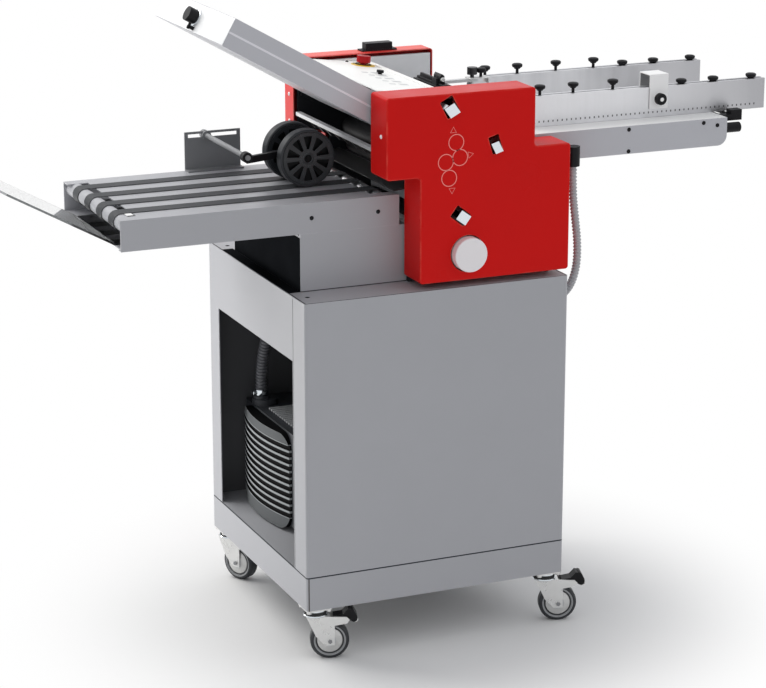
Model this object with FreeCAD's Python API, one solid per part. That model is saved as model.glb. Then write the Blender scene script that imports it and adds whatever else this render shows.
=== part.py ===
import FreeCAD, Part
import math
import os

# Buckle folding machine on a castor stand.  Millimetres, +Z up, floor at Z = 0.
# X runs along the paper path: the feeder is at +X, the delivery at -X.
# Y runs across it: the operator stands at -Y.  Sizes are given from the middle
# of the stand; every piece is moved once, at the end, so that the origin is the
# middle of the machine's footprint.

# ---- stand ----
stand_length = 542.0
stand_width = 526.0
base_height = 68.0
cabinet_height = 536.0
sheet = 2.0
stand_corner = 6.0
base_lip = 70.0
post_front = 64.0
post_rear = 55.0
bay_top_rail = 125.0
seam_width = 1.6
seam_depth = 1.2
top_plate = 3.0
top_gap = 1.0
top_ledge = 18.0
top_hole_inset = 24.0
top_hole_inset_y = 47.0
top_hole_radius = 3.3

# ---- castors ----
castor_height = 106.0
castor_inset = 27.0
castor_plate = 52.0
castor_plate_thickness = 3.0
castor_bolt_spacing = 40.0
castor_bolt_radius = 5.0
castor_bolt_height = 4.0
kingpin_radius = 6.0
kingpin_length = 13.0
fork_head_radius = 21.0
fork_sheet = 2.5
fork_inner = 28.0
castor_trail = 27.0
wheel_radius = 37.5
wheel_width = 24.0
wheel_hub_width = 26.0
wheel_hub_radius = 12.0
wheel_web = 8.0
wheel_rim_radius = 25.0
wheel_tyre_radius = 29.5
wheel_rim_width = 20.0
wheel_tyre_round = 4.0
castor_axle_radius = 4.0
fork_left_outline = [(9, 69), (9, 29), (-9, 29), (-17, 37), (-27, 48)]
horn_outline = [(-10, 88), (32, 86), (38, 80), (33, 73)]
pedal_pin_radius = 2.5
pedal_pin_x = 40.0
pedal_pin_z = 82.0
pedal_width = 25.0
pedal_outline = [
    (34, 78.5), (46, 77.5), (60, 80), (66, 77), (74, 74), (80, 77), (79, 86), (72, 99),
    (62, 101), (52, 90), (34, 87),
]
castor_turn = {"fl": -18.0, "fr": -18.0, "rl": -60.0, "rr": -60.0}

# ---- running fits ----
bearing_gap = 0.05
slide_gap = 0.3
face_gap = 0.4

# ---- vacuum pump in the stand ----
pump_length = 246.0
pump_width = 313.0
pump_left_gap = 65.0
pump_rear_gap = 20.0
pump_foot = 12.0
pump_foot_size = 40.0
pump_body_height = 194.0
hood_front_inset = 48.0
hood_rear_inset = 15.0
hood_lift = 4.0
hood_height = 198.0
hood_edge = 6.0
hood_bulge = 20.0
hood_round = 34.0
hood_slots = 11
hood_slot_pitch = 14.0
hood_slot_height = 7.5
hood_slot_depth = 3.0
hood_slot_lift = 103.0
pump_motor_radius = 65.0
pump_motor_length = 120.0
port_radius = 16.0
port_flange = 26.0
port_offset = 8.0
port_height = 12.0
port_stub = 6.0
port_x_inset = 18.0
port_y_inset = 51.0
hose_radius = 12.0
hose_run = [
    (0.0, 0.0, 0.0),
    (0.0, 0.0, 44.0),
    (2.0, -8.0, 90.0),
    (7.0, -22.0, 136.0),
    (15.0, -38.0, 182.0),
    (22.0, -50.0, 224.0),
    (26.0, -56.0, 267.0),
    (26.0, -56.0, 309.0),
]

# ---- pedestal between stand and delivery ----
pedestal_left = -245.0
pedestal_right = -30.0
pedestal_width = 356.0
pedestal_slot = 4.0

# ---- side frames and covers of the fold unit ----
frame_front = -178.0
frame_rear = 205.0
frame_sheet = 8.0
frame_inset = 8.0
frame_foot = 28.0
frame_foot_sheet = 4.0
cover_sheet = 2.0
cover_round = 6.0
cover_edge_round = 2.5
cover_overlap = 2.0
cover_front_face = -258.0
cover_rear_face = 258.0
upper_left = -105.0
upper_right = 198.0
upper_low = 925.0
upper_high = 1079.0
lower_left = -37.0
lower_right = 273.0
lower_low = 722.0
cover_foot_gap = 12.0
lower_high = 967.0
standoff_radius = 5.0
box_length = 58.0
box_x = 58.0
box_width = 24.0
box_height = 13.0
box_base = 3.0
box_base_margin = 9.0

# ---- fold rollers and drive ----
roller_radius = 18.0
roller_gap = 0.3
roller_end_gap = 6.0
roller_2_x = 48.0
roller_2_z = 945.0
nip_angle_12 = 77.0
nip_angle_23 = 192.0
nip_angle_34 = -77.0
shaft_radius = 6.0
bearing_radius = 14.0
shaft_stub = 4.0
gear_teeth = 33
gear_width = 8.0
gear_gap = 3.0
pulley_radius = 15.0
pulley_width = 10.0
belt_sheet = 2.0
belt_gap = 0.2
knob_x = 61.0
knob_z = 773.0
knob_radius = 33.0
knob_hole = 35.5
knob_proud = 17.0
knob_length = 28.0
main_shaft_radius = 8.0
main_bearing_radius = 18.0
gearbox_radius = 34.0
gearbox_length = 40.0
motor_x = 104.0
motor_z = 752.0
motor_radius = 31.0
motor_length = 104.0

# ---- gap levers: window centre x and z, tilt, window width and length ----
lever_windows = {
    1: (22.0, 1054.0, -62.0, 28.0, 36.0),
    2: (116.0, 977.0, -73.0, 22.0, 34.0),
    3: (45.0, 847.0, -38.0, 26.0, 34.0),
}
lever_side = {1: -1, 2: 1, 3: -1}
lever_radius = 50.0
lever_tab_length = 18.0
lever_tab_margin = 3.0
lever_end_margin = 2.0
lever_tab_rise = 10.0
lever_sheet = 4.0
lever_tab_sheet = 2.0
lever_pin_radius = 4.0
lever_hub_radius = 8.0
lever_standoff = 6.0

# ---- top cover and controls ----
lid_left = -88.0
lid_right = 62.0
lid_left_z = 1079.0
lid_right_z = 1060.5
lid_flange = 20.5
lid_side_gap = 2.0
hinge_x = 71.0
hinge_z = 1046.0
hinge_rod_radius = 5.0
hinge_eye_radius = 9.0
hinge_eye_width = 22.0
hinge_eye_y = (-120.0, 140.0)
rest_bar_x = -40.0
rest_bar_radius = 6.0
estop_x = 22.0
estop_y = 155.0
estop_radius = 14.0
estop_height = 13.0
estop_stem_radius = 6.0
estop_lift = 6.0
start_x = 10.0
start_y = 42.0
start_radius = 7.0
start_height = 5.0
start_lift = 3.0
start_stem_radius = 4.0
button_stem = 14.0
button_hole_gap = 0.3

# ---- upper fold plate, in its own slope ----
plate_slope = 29.57
plate_end_x = -377.1
plate_end_z = 1206.2
plate_length = 388.0
plate_thickness = 55.0
plate_nose = 64.0
plate_nose_thickness = 12.0
plate_side_gap = 3.0
paper_gap = 3.5
plate_skin = 1.6
plate_slot_start = 25.0
plate_slot_margin = 7.0
plate_cells = 3
stop_position = 200.0
stop_depth = 12.0
stop_gap = 0.35
stop_end_gap = 6.0
knob_end_radius = 14.0
knob_end_length = 22.0
knob_end_y = 0.0
knob_end_shaft = 3.0
rail_width = 6.0
rail_height = 6.0
rail_low = (346.0, 376.0)
rail_high = (354.0, 384.0)

# ---- lower fold plate ----
lower_slope = 40.0
lower_mouth_x = 47.0
lower_mouth_z = 905.0
lower_start = 12.0
lower_end = 240.0
lower_thickness = 12.0
lower_slot_end = 225.0

# ---- cross bars and guides between the frames ----
bar_x = -97.0
bar_z = 969.0
bar_width = 10.0
bar_height = 7.0
finger_count = 8
finger_width = 3.0
finger_outline = [(0, -1.5), (6, -1.5), (22, -20), (52, -32), (52, -35), (20, -24)]
infeed_guide = [(76.0, 957.0), (128.0, 965.0)]
outfeed_guide = [(-56.0, 886.0), (-4.0, 892.0)]

# ---- delivery ----
delivery_end = -592.0
delivery_start = -45.0
delivery_width = 356.0
delivery_top = 879.0
delivery_height = 58.0
delivery_lip = 14.0
belt_roller_x = -72.0
belt_roller_radius = 15.0
belt_shaft_radius = 5.0
belt_shaft_stub = 12.0
belt_block = 26.0
belt_block_width = 10.0
nose_x = -573.0
belt_count = 4
belt_width = 32.0
belt_pitch = 74.0
belt_thickness = 1.2
belt_field = 300.0
tie_plate_x = (-588.0, -530.0)

tray_slope = 29.1
tray_sheet = 4.0
tray_reach = 241.0
tray_middle = -12.0
tray_width = 236.0
tray_corner = 25.0
tray_bend = -588.0
tray_tab = 58.0

# ---- press wheels over the delivery ----
bracket_left = -346.0
bracket_right = -231.0
bracket_y = 176.0
bracket_sheet = 3.0
bracket_top = 955.0
bracket_slot_height = 7.0
bracket_slot_margin = 7.0
bracket_slot_drop = 4.5
bracket_foot = 20.0
press_rod_x = -302.0
press_rod_radius = 5.0
press_rod_front = -60.0
press_rod_rear = 190.0
press_nut_radius = 9.0
press_nut_width = 6.0
press_arm_rod_y = -57.0
press_arm_y = -14.0
press_arm_width = 14.0
press_arm_sheet = 9.0
press_arm_low = 935.0
press_arm_high = 948.0
press_eye_radius = 10.0
press_axle_x = -181.0
press_wheel_radius = 55.0
press_wheel_width = 24.0
press_wheel_y = (-58.0, 20.0)
press_axle_radius = 4.0
press_rim = 10.0
press_hub = 9.0
press_pockets = 9
press_pocket_depth = 8.0

# ---- feeder ----
table_left = 188.0
table_end = 660.0
table_width = 356.0
table_top = 971.0
table_skirt = 55.0
table_corner = 20.0
drum_x = 150.0
drum_z = 938.0
drum_radius = 30.0
drum_length = 120.0
drum_middle = 8.0
drum_holes = 12
drum_hole_radius = 3.0
drum_hole_depth = 4.0
guide_start = 240.0
front_guide_end = 779.0
rear_guide_end = 765.0
guide_height = 60.0
guide_width = 22.0
guide_wall = 2.5
guide_slot = 6.4
front_guide_y = -118.0
guide_opening = 210.0
screw_pitch = (275.0, 347.0, 434.0, 520.0, 587.0, 659.0, 746.0)
tall_screws = 4
screw_shift = 7.0
screw_head_radius = 10.0
screw_head_height = 6.0
screw_stem_radius = 3.0
screw_tall = 13.0
screw_low = 3.0
screw_nut = 14.0
screw_nut_height = 3.0
saddle_x = 537.0
saddle_length = 41.0
saddle_sheet = 2.0
saddle_rise = 25.0
saddle_leg_low = 988.0
saddle_back_low = 1004.0
saddle_depth = 42.0
saddle_gap = 0.6
saddle_knob_radius = 11.0
saddle_knob_length = 12.0
saddle_knob_z = 1008.0
rail_rod_radius = 3.5
rail_rod_cover = 1.5
rail_rod_x = (668.0, 692.0)
rail_block_y = 136.0
rail_block_width = 20.0
rail_block_end = 706.0
rail_block_low = 959.0
rail_block_step = 682.0
rail_block_high = 980.0
end_knob_radius = 10.0
end_knob_length = 34.0
end_knob_y = -167.0
end_knob_z = 948.0
end_knob_stud = 3.0
beam_left = 90.0
beam_right = 106.0
beam_low = 1036.0
beam_high = 1052.0
beam_end = 62.0
blade_width = 30.0
blade_gap = 5.0
blade_sheet = 6.0
separator_handle_y = (-40.0, -22.0)
arm_end = 224.0
arm_width = 12.0
arm_height = 6.0
spindle_x = 214.0
spindle_radius = 4.0
spindle_knob_radius = 10.0
spindle_knob_height = 14.0

# ---- conduit and fittings ----
conduit_radius = 8.0
conduit_top_x = 292.0
conduit_high = [
    (0.0, -232.0, 916.0),
    (0.0, -232.0, 868.0),
    (7.0, -231.0, 816.0),
]
conduit_low = [
    (36.0, -229.0, 764.0),
    (39.0, -222.0, 716.0),
    (36.0, -206.0, 674.0),
    (30.0, -172.0, 641.0),
    (25.0, -130.0, 628.0),
    (25.0, -90.0, 628.0),
]
gland_radius = 13.0
gland_length = 38.0
elbow_radius = 9.0
inlet_y = 150.0
inlet_z = 250.0
inlet_radius = 11.0
inlet_length = 14.0

# ---- worked out once from the sizes above ----
stand_x = stand_length / 2
stand_y = stand_width / 2
base_top = castor_height + base_height
stand_top = base_top + cabinet_height
castor_x = stand_x - castor_inset
castor_y = stand_y - castor_inset
pump_left = -stand_x + pump_left_gap
pump_right = pump_left + pump_length
pump_rear = stand_y - pump_rear_gap
pump_front = pump_rear - pump_width
hood_front = pump_front + hood_front_inset
hood_rear = pump_rear - hood_rear_inset
hood_low = base_top + hood_lift
hood_high = hood_low + hood_height
hood_slot_middle = hood_low + hood_slot_lift
port_x = pump_left + port_x_inset
port_y = pump_rear - port_y_inset
port_z = base_top + pump_foot + pump_body_height + port_height + port_stub
hose_top_z = stand_top - top_plate
hose_stretch = (hose_top_z - port_z) / hose_run[-1][2]
hose_route = [(port_x + x, port_y + y, port_z + z * hose_stretch) for x, y, z in hose_run]
conduit_route = [(conduit_top_x + x, y, z) for x, y, z in conduit_high]
conduit_route += [(stand_x + x, y, z) for x, y, z in conduit_low]
unit_base = lower_low - cover_foot_gap
unit_rise = stand_top - unit_base
roller_pitch = 2 * roller_radius + roller_gap
frame_outer_front = frame_front - frame_sheet
frame_outer_rear = frame_rear + frame_sheet
gear_y = frame_outer_rear + gear_gap
pulley_y = gear_y + gear_width + gear_gap
table_bottom = table_top - table_skirt
guide_low = table_top + slide_gap
guide_high = guide_low + guide_height
rear_guide_y = front_guide_y + guide_width + guide_opening
delivery_low = delivery_top - delivery_height
belt_top = delivery_top + belt_gap + belt_thickness
belt_axis_z = delivery_top + belt_gap - belt_roller_radius
press_axle_z = belt_top + face_gap + press_wheel_radius
press_rod_z = bracket_top - bracket_slot_drop - bracket_slot_height / 2
tray_rise = math.radians(tray_slope)
tray_end_x = tray_bend - tray_reach * math.cos(tray_rise) - tray_sheet * math.sin(tray_rise)
lid_fall = (lid_left_z - lid_right_z) / (lid_right - lid_left)
knob_front_face = cover_front_face - knob_proud
origin_x = (tray_end_x + front_guide_end) / 2
origin_y = (knob_front_face + stand_y) / 2


def vec(x, y, z):
    return FreeCAD.Vector(x, y, z)


def box(x0, x1, y0, y1, z0, z1):
    return Part.makeBox(x1 - x0, y1 - y0, z1 - z0, vec(x0, y0, z0))


def rod(radius, start, end):
    axis = vec(*end) - vec(*start)
    return Part.makeCylinder(radius, axis.Length, vec(*start), axis)


def rod_y(radius, x, z, y0, y1):
    return rod(radius, (x, y0, z), (x, y1, z))


def prism(points, y0, y1):
    """Solid from an outline of (x, z) points, between two values of y."""
    corners = [vec(x, y0, z) for x, z in points]
    outline = Part.makePolygon(corners + corners[:1])
    return Part.Face(outline).extrude(vec(0, y1 - y0, 0))


def fuse(shapes):
    whole = shapes[0].multiFuse(shapes[1:]) if len(shapes) > 1 else shapes[0]
    return whole.removeSplitter()


def cut(shape, tools):
    return shape.cut(Part.makeCompound(tools))


def round_along(shape, direction, radius):
    """Round every straight edge that runs along one direction."""
    edges = []
    for edge in shape.Edges:
        if edge.Curve.TypeId != "Part::GeomLine":
            continue
        along = abs(edge.tangentAt(edge.FirstParameter).dot(direction))
        if along > 0.999:
            edges.append(edge)
    return shape.makeFillet(radius, edges)


def at_level(shape, direction, level, radius):
    """Round the edges that lie wholly in the plane where direction = level."""
    edges = []
    for edge in shape.Edges:
        bounds = edge.BoundBox
        low = vec(bounds.XMin, bounds.YMin, bounds.ZMin).dot(direction)
        high = vec(bounds.XMax, bounds.YMax, bounds.ZMax).dot(direction)
        if abs(low - level) < 0.01 and abs(high - level) < 0.01:
            edges.append(edge)
    return shape.makeFillet(radius, edges)


AXIS_X = vec(1, 0, 0)
AXIS_Y = vec(0, 1, 0)
AXIS_Z = vec(0, 0, 1)


def turned(profile, x, z):
    """Solid of revolution about a Y line, from (radius, y) points."""
    corners = [vec(x + radius, y, z) for radius, y in profile]
    outline = Part.makePolygon(corners + corners[:1])
    return Part.Face(outline).revolve(vec(x, 0, z), AXIS_Y, 360)


def tube(name, route, radius):
    """Round solid along straight runs joined by tangent arcs."""
    points = [vec(*point) for point in route]
    start = points[0]
    edges = []
    radii = []
    for before, corner, after in zip(points, points[1:], points[2:]):
        back = before - corner
        ahead = after - corner
        shorter = min(back.Length, ahead.Length)
        back.normalize()
        ahead.normalize()
        half_turn = (math.pi - back.getAngle(ahead)) / 2
        reach = 0.45 * shorter
        radii.append(reach / math.tan(half_turn))
        first = corner + back * reach
        last = corner + ahead * reach
        middle_way = back + ahead
        middle_way.normalize()
        depth = radii[-1] * (1 / math.cos(half_turn) - 1)
        middle = corner + middle_way * depth
        edges.append(Part.LineSegment(start, first).toShape())
        edges.append(Part.Arc(first, middle, last).toShape())
        start = last
    edges.append(Part.LineSegment(start, points[-1]).toShape())
    path = Part.Wire(edges)
    ring = Part.makeCircle(radius, points[0], points[1] - points[0])
    solid = path.makePipeShell([Part.Wire([ring])], True, False)
    ideal = math.pi * radius ** 2 * path.Length
    print(name, "length", round(path.Length, 1), "radii", [round(r) for r in radii],
          "volume ratio", round(solid.Volume / ideal, 4))
    return solid


def save(name, *solids):
    shift = vec(-origin_x, -origin_y, 0)
    moved = []
    for solid in solids:
        piece = solid.copy()
        piece.translate(shift)
        moved.append(piece)
    shape = moved[0] if len(moved) == 1 else Part.makeCompound(moved)
    shape.exportStep("parts/" + name + ".step")


def raised(solids):
    """Pieces that stand on the stand, moved with the height of its top."""
    return [solid.translated(vec(0, 0, unit_rise)) for solid in solids]


def save_unit(name, *solids):
    save(name, *raised(solids))


# ---------------------------------------------------------------- stand

def base_tray():
    """Upside-down sheet pan with a turned-in lip that carries the castors."""
    outer = box(-stand_x, stand_x, -stand_y, stand_y, castor_height, base_top)
    outer = round_along(outer, AXIS_Z, stand_corner)
    x = stand_x - sheet
    y = stand_y - sheet
    inner = box(-x, x, -y, y, castor_height + sheet, base_top - sheet)
    lip_x = stand_x - base_lip
    lip_y = stand_y - base_lip
    mouth = box(-lip_x, lip_x, -lip_y, lip_y, castor_height - 1, base_top - sheet)
    seam_x = stand_x - seam_depth
    seam_y = stand_y - seam_depth
    ring = box(-stand_x - 1, stand_x + 1, -stand_y - 1, stand_y + 1, base_top - seam_width, base_top + 1)
    ring = ring.cut(box(-seam_x, seam_x, -seam_y, seam_y, castor_height, base_top + 1))
    return cut(outer, [inner, mouth, ring])


def cabinet_shell():
    """Folded cabinet, open on the left where the pump is reached."""
    outer = box(-stand_x, stand_x, -stand_y, stand_y, base_top, stand_top)
    outer = round_along(outer, AXIS_Z, stand_corner)
    x = stand_x - sheet
    y = stand_y - sheet
    ledge_top = stand_top - top_plate
    inner = box(-x, x, -y, y, base_top - 1, ledge_top - sheet)
    rim = box(-x, x, -y, y, ledge_top, stand_top + 1)
    hole = box(-x + top_ledge, x - top_ledge, -y + top_ledge, y - top_ledge,
               base_top, stand_top)
    bay = box(-stand_x - 1, -x + 1, -stand_y + post_front, stand_y - post_rear,
              base_top - 1, stand_top - bay_top_rail)
    seam_y = -stand_y + post_front - 4
    seam = box(-stand_x - 1, -stand_x + seam_depth, seam_y, seam_y + seam_width,
               base_top - 1, stand_top + 1)
    return cut(outer, [inner, rim, hole, bay, seam])


def cabinet_top():
    x = stand_x - sheet - top_gap
    y = stand_y - sheet - top_gap
    plate = box(-x, x, -y, y, stand_top - top_plate, stand_top)
    holes = []
    for side_x in (-1, 1):
        for side_y in (-1, 1):
            hole_x = side_x * (stand_x - top_hole_inset)
            hole_y = side_y * (stand_y - top_hole_inset_y)
            holes.append(rod(top_hole_radius, (hole_x, hole_y, stand_top - 10),
                             (hole_x, hole_y, stand_top + 10)))
    hose_x, hose_y, hose_z = hose_route[-1]
    holes.append(rod(hose_radius - sheet, (hose_x, hose_y, hose_z - 10),
                     (hose_x, hose_y, hose_z + 10)))
    return cut(plate, holes)


def castor_places():
    return {
        "fl": (-castor_x, -castor_y),
        "fr": (castor_x, -castor_y),
        "rl": (-castor_x, castor_y),
        "rr": (castor_x, castor_y),
    }


def castor_place(shape, corner):
    x, y = castor_places()[corner]
    moved = shape.copy()
    moved.rotate(vec(0, 0, 0), AXIS_Z, castor_turn[corner])
    moved.translate(vec(x, y, 0))
    return moved


def castor_plates():
    """Top plates with their kingpins, and the bolts that hold them."""
    half = castor_plate / 2
    low = castor_height - castor_plate_thickness
    plate = box(-half, half, -half, half, low, castor_height)
    plate = round_along(plate, AXIS_Z, castor_bolt_radius)
    pin = rod(kingpin_radius, (0, 0, low - kingpin_length), (0, 0, low))
    mounted = fuse([plate, pin])
    pieces = []
    for x, y in castor_places().values():
        pieces.append(mounted.translated(vec(x, y, 0)))
        for side_x in (-1, 1):
            for side_y in (-1, 1):
                bolt_x = x + side_x * castor_bolt_spacing / 2
                bolt_y = y + side_y * castor_bolt_spacing / 2
                pieces.append(rod(castor_bolt_radius, (bolt_x, bolt_y, low - castor_bolt_height),
                                  (bolt_x, bolt_y, low)))
    return pieces


def castor_fork(braked):
    """Swivel head, two cheeks and the axle, trailing towards +X."""
    head_top = castor_height - castor_plate_thickness - face_gap
    head_low = castor_height - castor_plate_thickness - kingpin_length
    crown_low = head_low - fork_sheet
    half = fork_inner / 2 + fork_sheet
    axle_z = wheel_radius
    lower = [(castor_trail + x, z) for x, z in fork_left_outline]
    horn = [(castor_trail + x, z) for x, z in horn_outline]
    outline = [(-fork_head_radius + 2, head_low), (fork_head_radius - 2, head_low)] + horn + lower
    cheeks = prism(outline, -half, half)
    head = rod(fork_head_radius, (0, 0, crown_low), (0, 0, head_top))
    slot = box(-60, 90, -fork_inner / 2, fork_inner / 2, 0, crown_low)
    bore = rod(kingpin_radius + bearing_gap, (0, 0, head_low - face_gap), (0, 0, castor_height))
    body = cut(fuse([cheeks, head]), [slot, bore])
    parts = [body, rod_y(castor_axle_radius, castor_trail, axle_z, -half - 2, half + 2)]
    if braked:
        parts.append(rod_y(pedal_pin_radius, pedal_pin_x, pedal_pin_z, -half, half))
    return fuse(parts)


def castor_wheel():
    """Rubber tyre on a webbed hub."""
    hub = wheel_hub_width / 2
    web = wheel_web / 2
    rim = wheel_rim_width / 2
    half = wheel_width / 2
    bore = castor_axle_radius + bearing_gap
    profile = [
        (bore, -hub), (wheel_hub_radius, -hub), (wheel_hub_radius, -web),
        (wheel_rim_radius, -web), (wheel_rim_radius, -rim), (wheel_tyre_radius, -rim),
        (wheel_tyre_radius, -half), (wheel_radius - wheel_tyre_round, -half),
        (wheel_radius, -half + wheel_tyre_round), (wheel_radius, half - wheel_tyre_round),
        (wheel_radius - wheel_tyre_round, half), (wheel_tyre_radius, half),
        (wheel_tyre_radius, rim), (wheel_rim_radius, rim), (wheel_rim_radius, web),
        (wheel_hub_radius, web), (wheel_hub_radius, hub), (bore, hub),
    ]
    return turned(profile, castor_trail, wheel_radius)


def brake_pedal():
    half = pedal_width / 2
    hub = rod_y(pedal_pin_radius + 2, pedal_pin_x, pedal_pin_z, -half, half)
    bore = rod_y(pedal_pin_radius + bearing_gap, pedal_pin_x, pedal_pin_z, -half - 1, half + 1)
    return cut(fuse([prism(pedal_outline, -half, half), hub]), [bore])


# ---------------------------------------------------------------- pump

def pump_body():
    """Pump block on rubber feet, with the hose port on top."""
    low = base_top + pump_foot
    high = low + pump_body_height
    block = box(pump_left, pump_right, pump_front, pump_rear, low, high)
    block = round_along(block, AXIS_Z, 12)
    flange = rod(port_flange, (port_x + port_offset, port_y, high - 1),
                 (port_x + port_offset, port_y, high + port_height))
    axis_y = (pump_front + pump_rear) / 2
    axis_z = low + pump_body_height / 2
    motor = rod(pump_motor_radius, (pump_right - 1, axis_y, axis_z),
                (pump_right + pump_motor_length, axis_y, axis_z))
    port = rod(port_radius, (port_x, port_y, high + port_height), (port_x, port_y, port_z))
    body = fuse([block, motor, flange, port])
    feet = []
    for x in (pump_left + 14, pump_right - pump_foot_size - 6):
        for y in (pump_front + 10, pump_rear - pump_foot_size - 10):
            feet.append(box(x, x + pump_foot_size, y, y + pump_foot_size, base_top, low))
    return [body] + feet


def hood_barrel(depth):
    """Upright cylinder whose side is the hood's bulged face, less a depth."""
    half = (hood_rear - hood_front) / 2
    radius = (half ** 2 + hood_bulge ** 2) / (2 * hood_bulge)
    x = pump_left - hood_edge - hood_bulge + radius
    y = (hood_front + hood_rear) / 2
    return rod(radius - depth, (x, y, hood_low - 1), (x, y, hood_high + 1))


def pump_hood():
    """Bulged louvred hood on the pump's left side, with big round corners."""
    left = pump_left - hood_edge - hood_bulge - 1
    block = box(left, pump_left, hood_front, hood_rear, hood_low, hood_high)
    block = round_along(block, AXIS_X, hood_round)
    core = hood_barrel(hood_slot_depth)
    slots = []
    for index in range(hood_slots):
        z = hood_slot_middle + (index - (hood_slots - 1) / 2) * hood_slot_pitch
        slab = box(left - 1, pump_left - 1, hood_front - 1, hood_rear + 1,
                   z - hood_slot_height / 2, z + hood_slot_height / 2)
        slots.append(slab.cut(core))
    return cut(block.common(hood_barrel(0)), slots)


# ---------------------------------------------------------------- pedestal and frames

def pedestal():
    half = pedestal_width / 2
    outer = box(pedestal_left, pedestal_right, -half, half, unit_base, delivery_low)
    inner = box(pedestal_left + sheet, pedestal_right + 1, -half + sheet, half - sheet,
                unit_base - 1, delivery_low - sheet)
    slot = box(pedestal_left - 1, pedestal_left + 6, -half + 6, half - 26,
               delivery_low - pedestal_slot, delivery_low + 1)
    return cut(outer, [inner, slot])


def stepped_block(inset, y0, y1, low):
    """The covers' stepped outline, drawn in by one inset, as a solid."""
    upper = box(upper_left + inset, upper_right - inset, y0, y1, upper_low + inset, upper_high - inset)
    lower = box(lower_left + inset, lower_right - inset, y0, y1, low, lower_high - inset)
    return fuse([upper, lower])


def roller_centres():
    """The four fold rollers, each a pitch away from the one before."""
    def step(start, angle):
        turn = math.radians(angle)
        return (start[0] + roller_pitch * math.cos(turn), start[1] + roller_pitch * math.sin(turn))
    second = (roller_2_x, roller_2_z)
    first = step(second, nip_angle_12)
    third = step(second, nip_angle_23)
    fourth = step(third, nip_angle_34)
    return {1: first, 2: second, 3: third, 4: fourth}


def shaft_places():
    """Centre, shaft radius and bearing radius of every shaft across the frames."""
    places = []
    for x, z in roller_centres().values():
        places.append((x, z, shaft_radius, bearing_radius))
    places.append((drum_x, drum_z, shaft_radius, bearing_radius))
    places.append((knob_x, knob_z, main_shaft_radius, main_bearing_radius))
    return places


def side_frame(y0, y1):
    """Side plate with its foot on the stand, and its pressed-in bearings."""
    plate = stepped_block(frame_inset, y0, y1, unit_base)
    left = lower_left + frame_inset
    right = lower_right - frame_inset
    inward = 1 if y1 <= frame_front else -1
    edge = y1 if inward > 0 else y0
    foot = box(left, right, min(edge, edge + inward * frame_foot), max(edge, edge + inward * frame_foot),
               unit_base, unit_base + frame_foot_sheet)
    if inward > 0:
        foot = foot.common(box(pedestal_right, right, y0, edge + frame_foot, unit_base, lower_high))
    bearings = []
    bores = []
    for x, z, shaft, race in shaft_places():
        bores.append(rod_y(race, x, z, y0 - 1, y1 + 1))
        ring = rod_y(race, x, z, y0, y1)
        bearings.append(ring.cut(rod_y(shaft + bearing_gap, x, z, y0 - 1, y1 + 1)))
    return cut(fuse([plate, foot]), bores), bearings


def lever_pivot(number):
    """Where a gap lever turns, in X and Z."""
    x, z, tilt, _, _ = lever_windows[number]
    turn = math.radians(tilt)
    reach = lever_side[number] * lever_radius
    return x - reach * math.sin(turn), z + reach * math.cos(turn)


def plate_rails(y0, y1):
    """Ledges on a side frame that the upper fold plate slides between."""
    clear = plate_thickness / 2 + slide_gap
    low = box(rail_low[0], rail_low[1], y0, y1, -clear - rail_height, -clear)
    high = box(rail_high[0], rail_high[1], y0, y1, clear, clear + rail_height)
    return [on_slope(low), on_slope(high)]


def front_frame():
    plate, bearings = side_frame(frame_outer_front, frame_front)
    extras = [plate] + plate_rails(frame_front - 1, frame_front + rail_width)
    for number in lever_windows:
        x, z = lever_pivot(number)
        extras.append(rod_y(lever_pin_radius, x, z, frame_outer_front - lever_standoff - lever_sheet - 4,
                            frame_outer_front + 1))
    inner_face = cover_front_face + cover_sheet
    for x, z in ((upper_left + 30, upper_high - 26), (upper_right - 26, upper_high - 26),
                 (lower_right - 26, lower_low + 26), (lower_left + 26, lower_low + 26)):
        extras.append(rod_y(standoff_radius, x, z, inner_face, frame_outer_front + 1))
    return [fuse(extras)] + bearings


def rear_frame():
    plate, bearings = side_frame(frame_rear, frame_outer_rear)
    extras = [plate] + plate_rails(frame_rear - rail_width, frame_rear + 1)
    inner_face = cover_rear_face - cover_sheet
    for x, z in ((upper_left + 30, upper_high - 26), (upper_right - 26, upper_high - 26),
                 (lower_right - 26, lower_low + 26), (lower_left + 26, lower_low + 26)):
        extras.append(rod_y(standoff_radius, x, z, frame_outer_rear - 1, inner_face))
    return [fuse(extras)] + bearings


def cover_shell(face_y, back_y):
    """Deep red pan with the stepped outline, open towards its frame."""
    low_y = min(face_y, back_y)
    high_y = max(face_y, back_y)
    outer = round_along(stepped_block(0, low_y, high_y, lower_low), AXIS_Y, cover_round)
    outer = at_level(outer, AXIS_Y, face_y, cover_edge_round)
    if face_y < back_y:
        inner_low = low_y + cover_sheet
        inner_high = high_y + 1
    else:
        inner_low = low_y - 1
        inner_high = high_y - cover_sheet
    inner = stepped_block(cover_sheet, inner_low, inner_high, lower_low + cover_sheet)
    inner = round_along(inner, AXIS_Y, cover_round - cover_sheet)
    frame_y = frame_outer_front if face_y < back_y else frame_outer_rear
    room = box(lower_left + frame_inset - slide_gap, lower_right - frame_inset + slide_gap,
               min(frame_y, back_y) - slide_gap, max(frame_y, back_y) + slide_gap,
               lower_low - 1, lower_low + cover_sheet + 1)
    return cut(outer, [inner, room])


def lever_turned(shape, number):
    x, z, tilt, _, _ = lever_windows[number]
    moved = shape.copy()
    moved.translate(vec(x, 0, z))
    moved.rotate(vec(x, 0, z), AXIS_Y, -tilt)
    return moved


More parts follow.
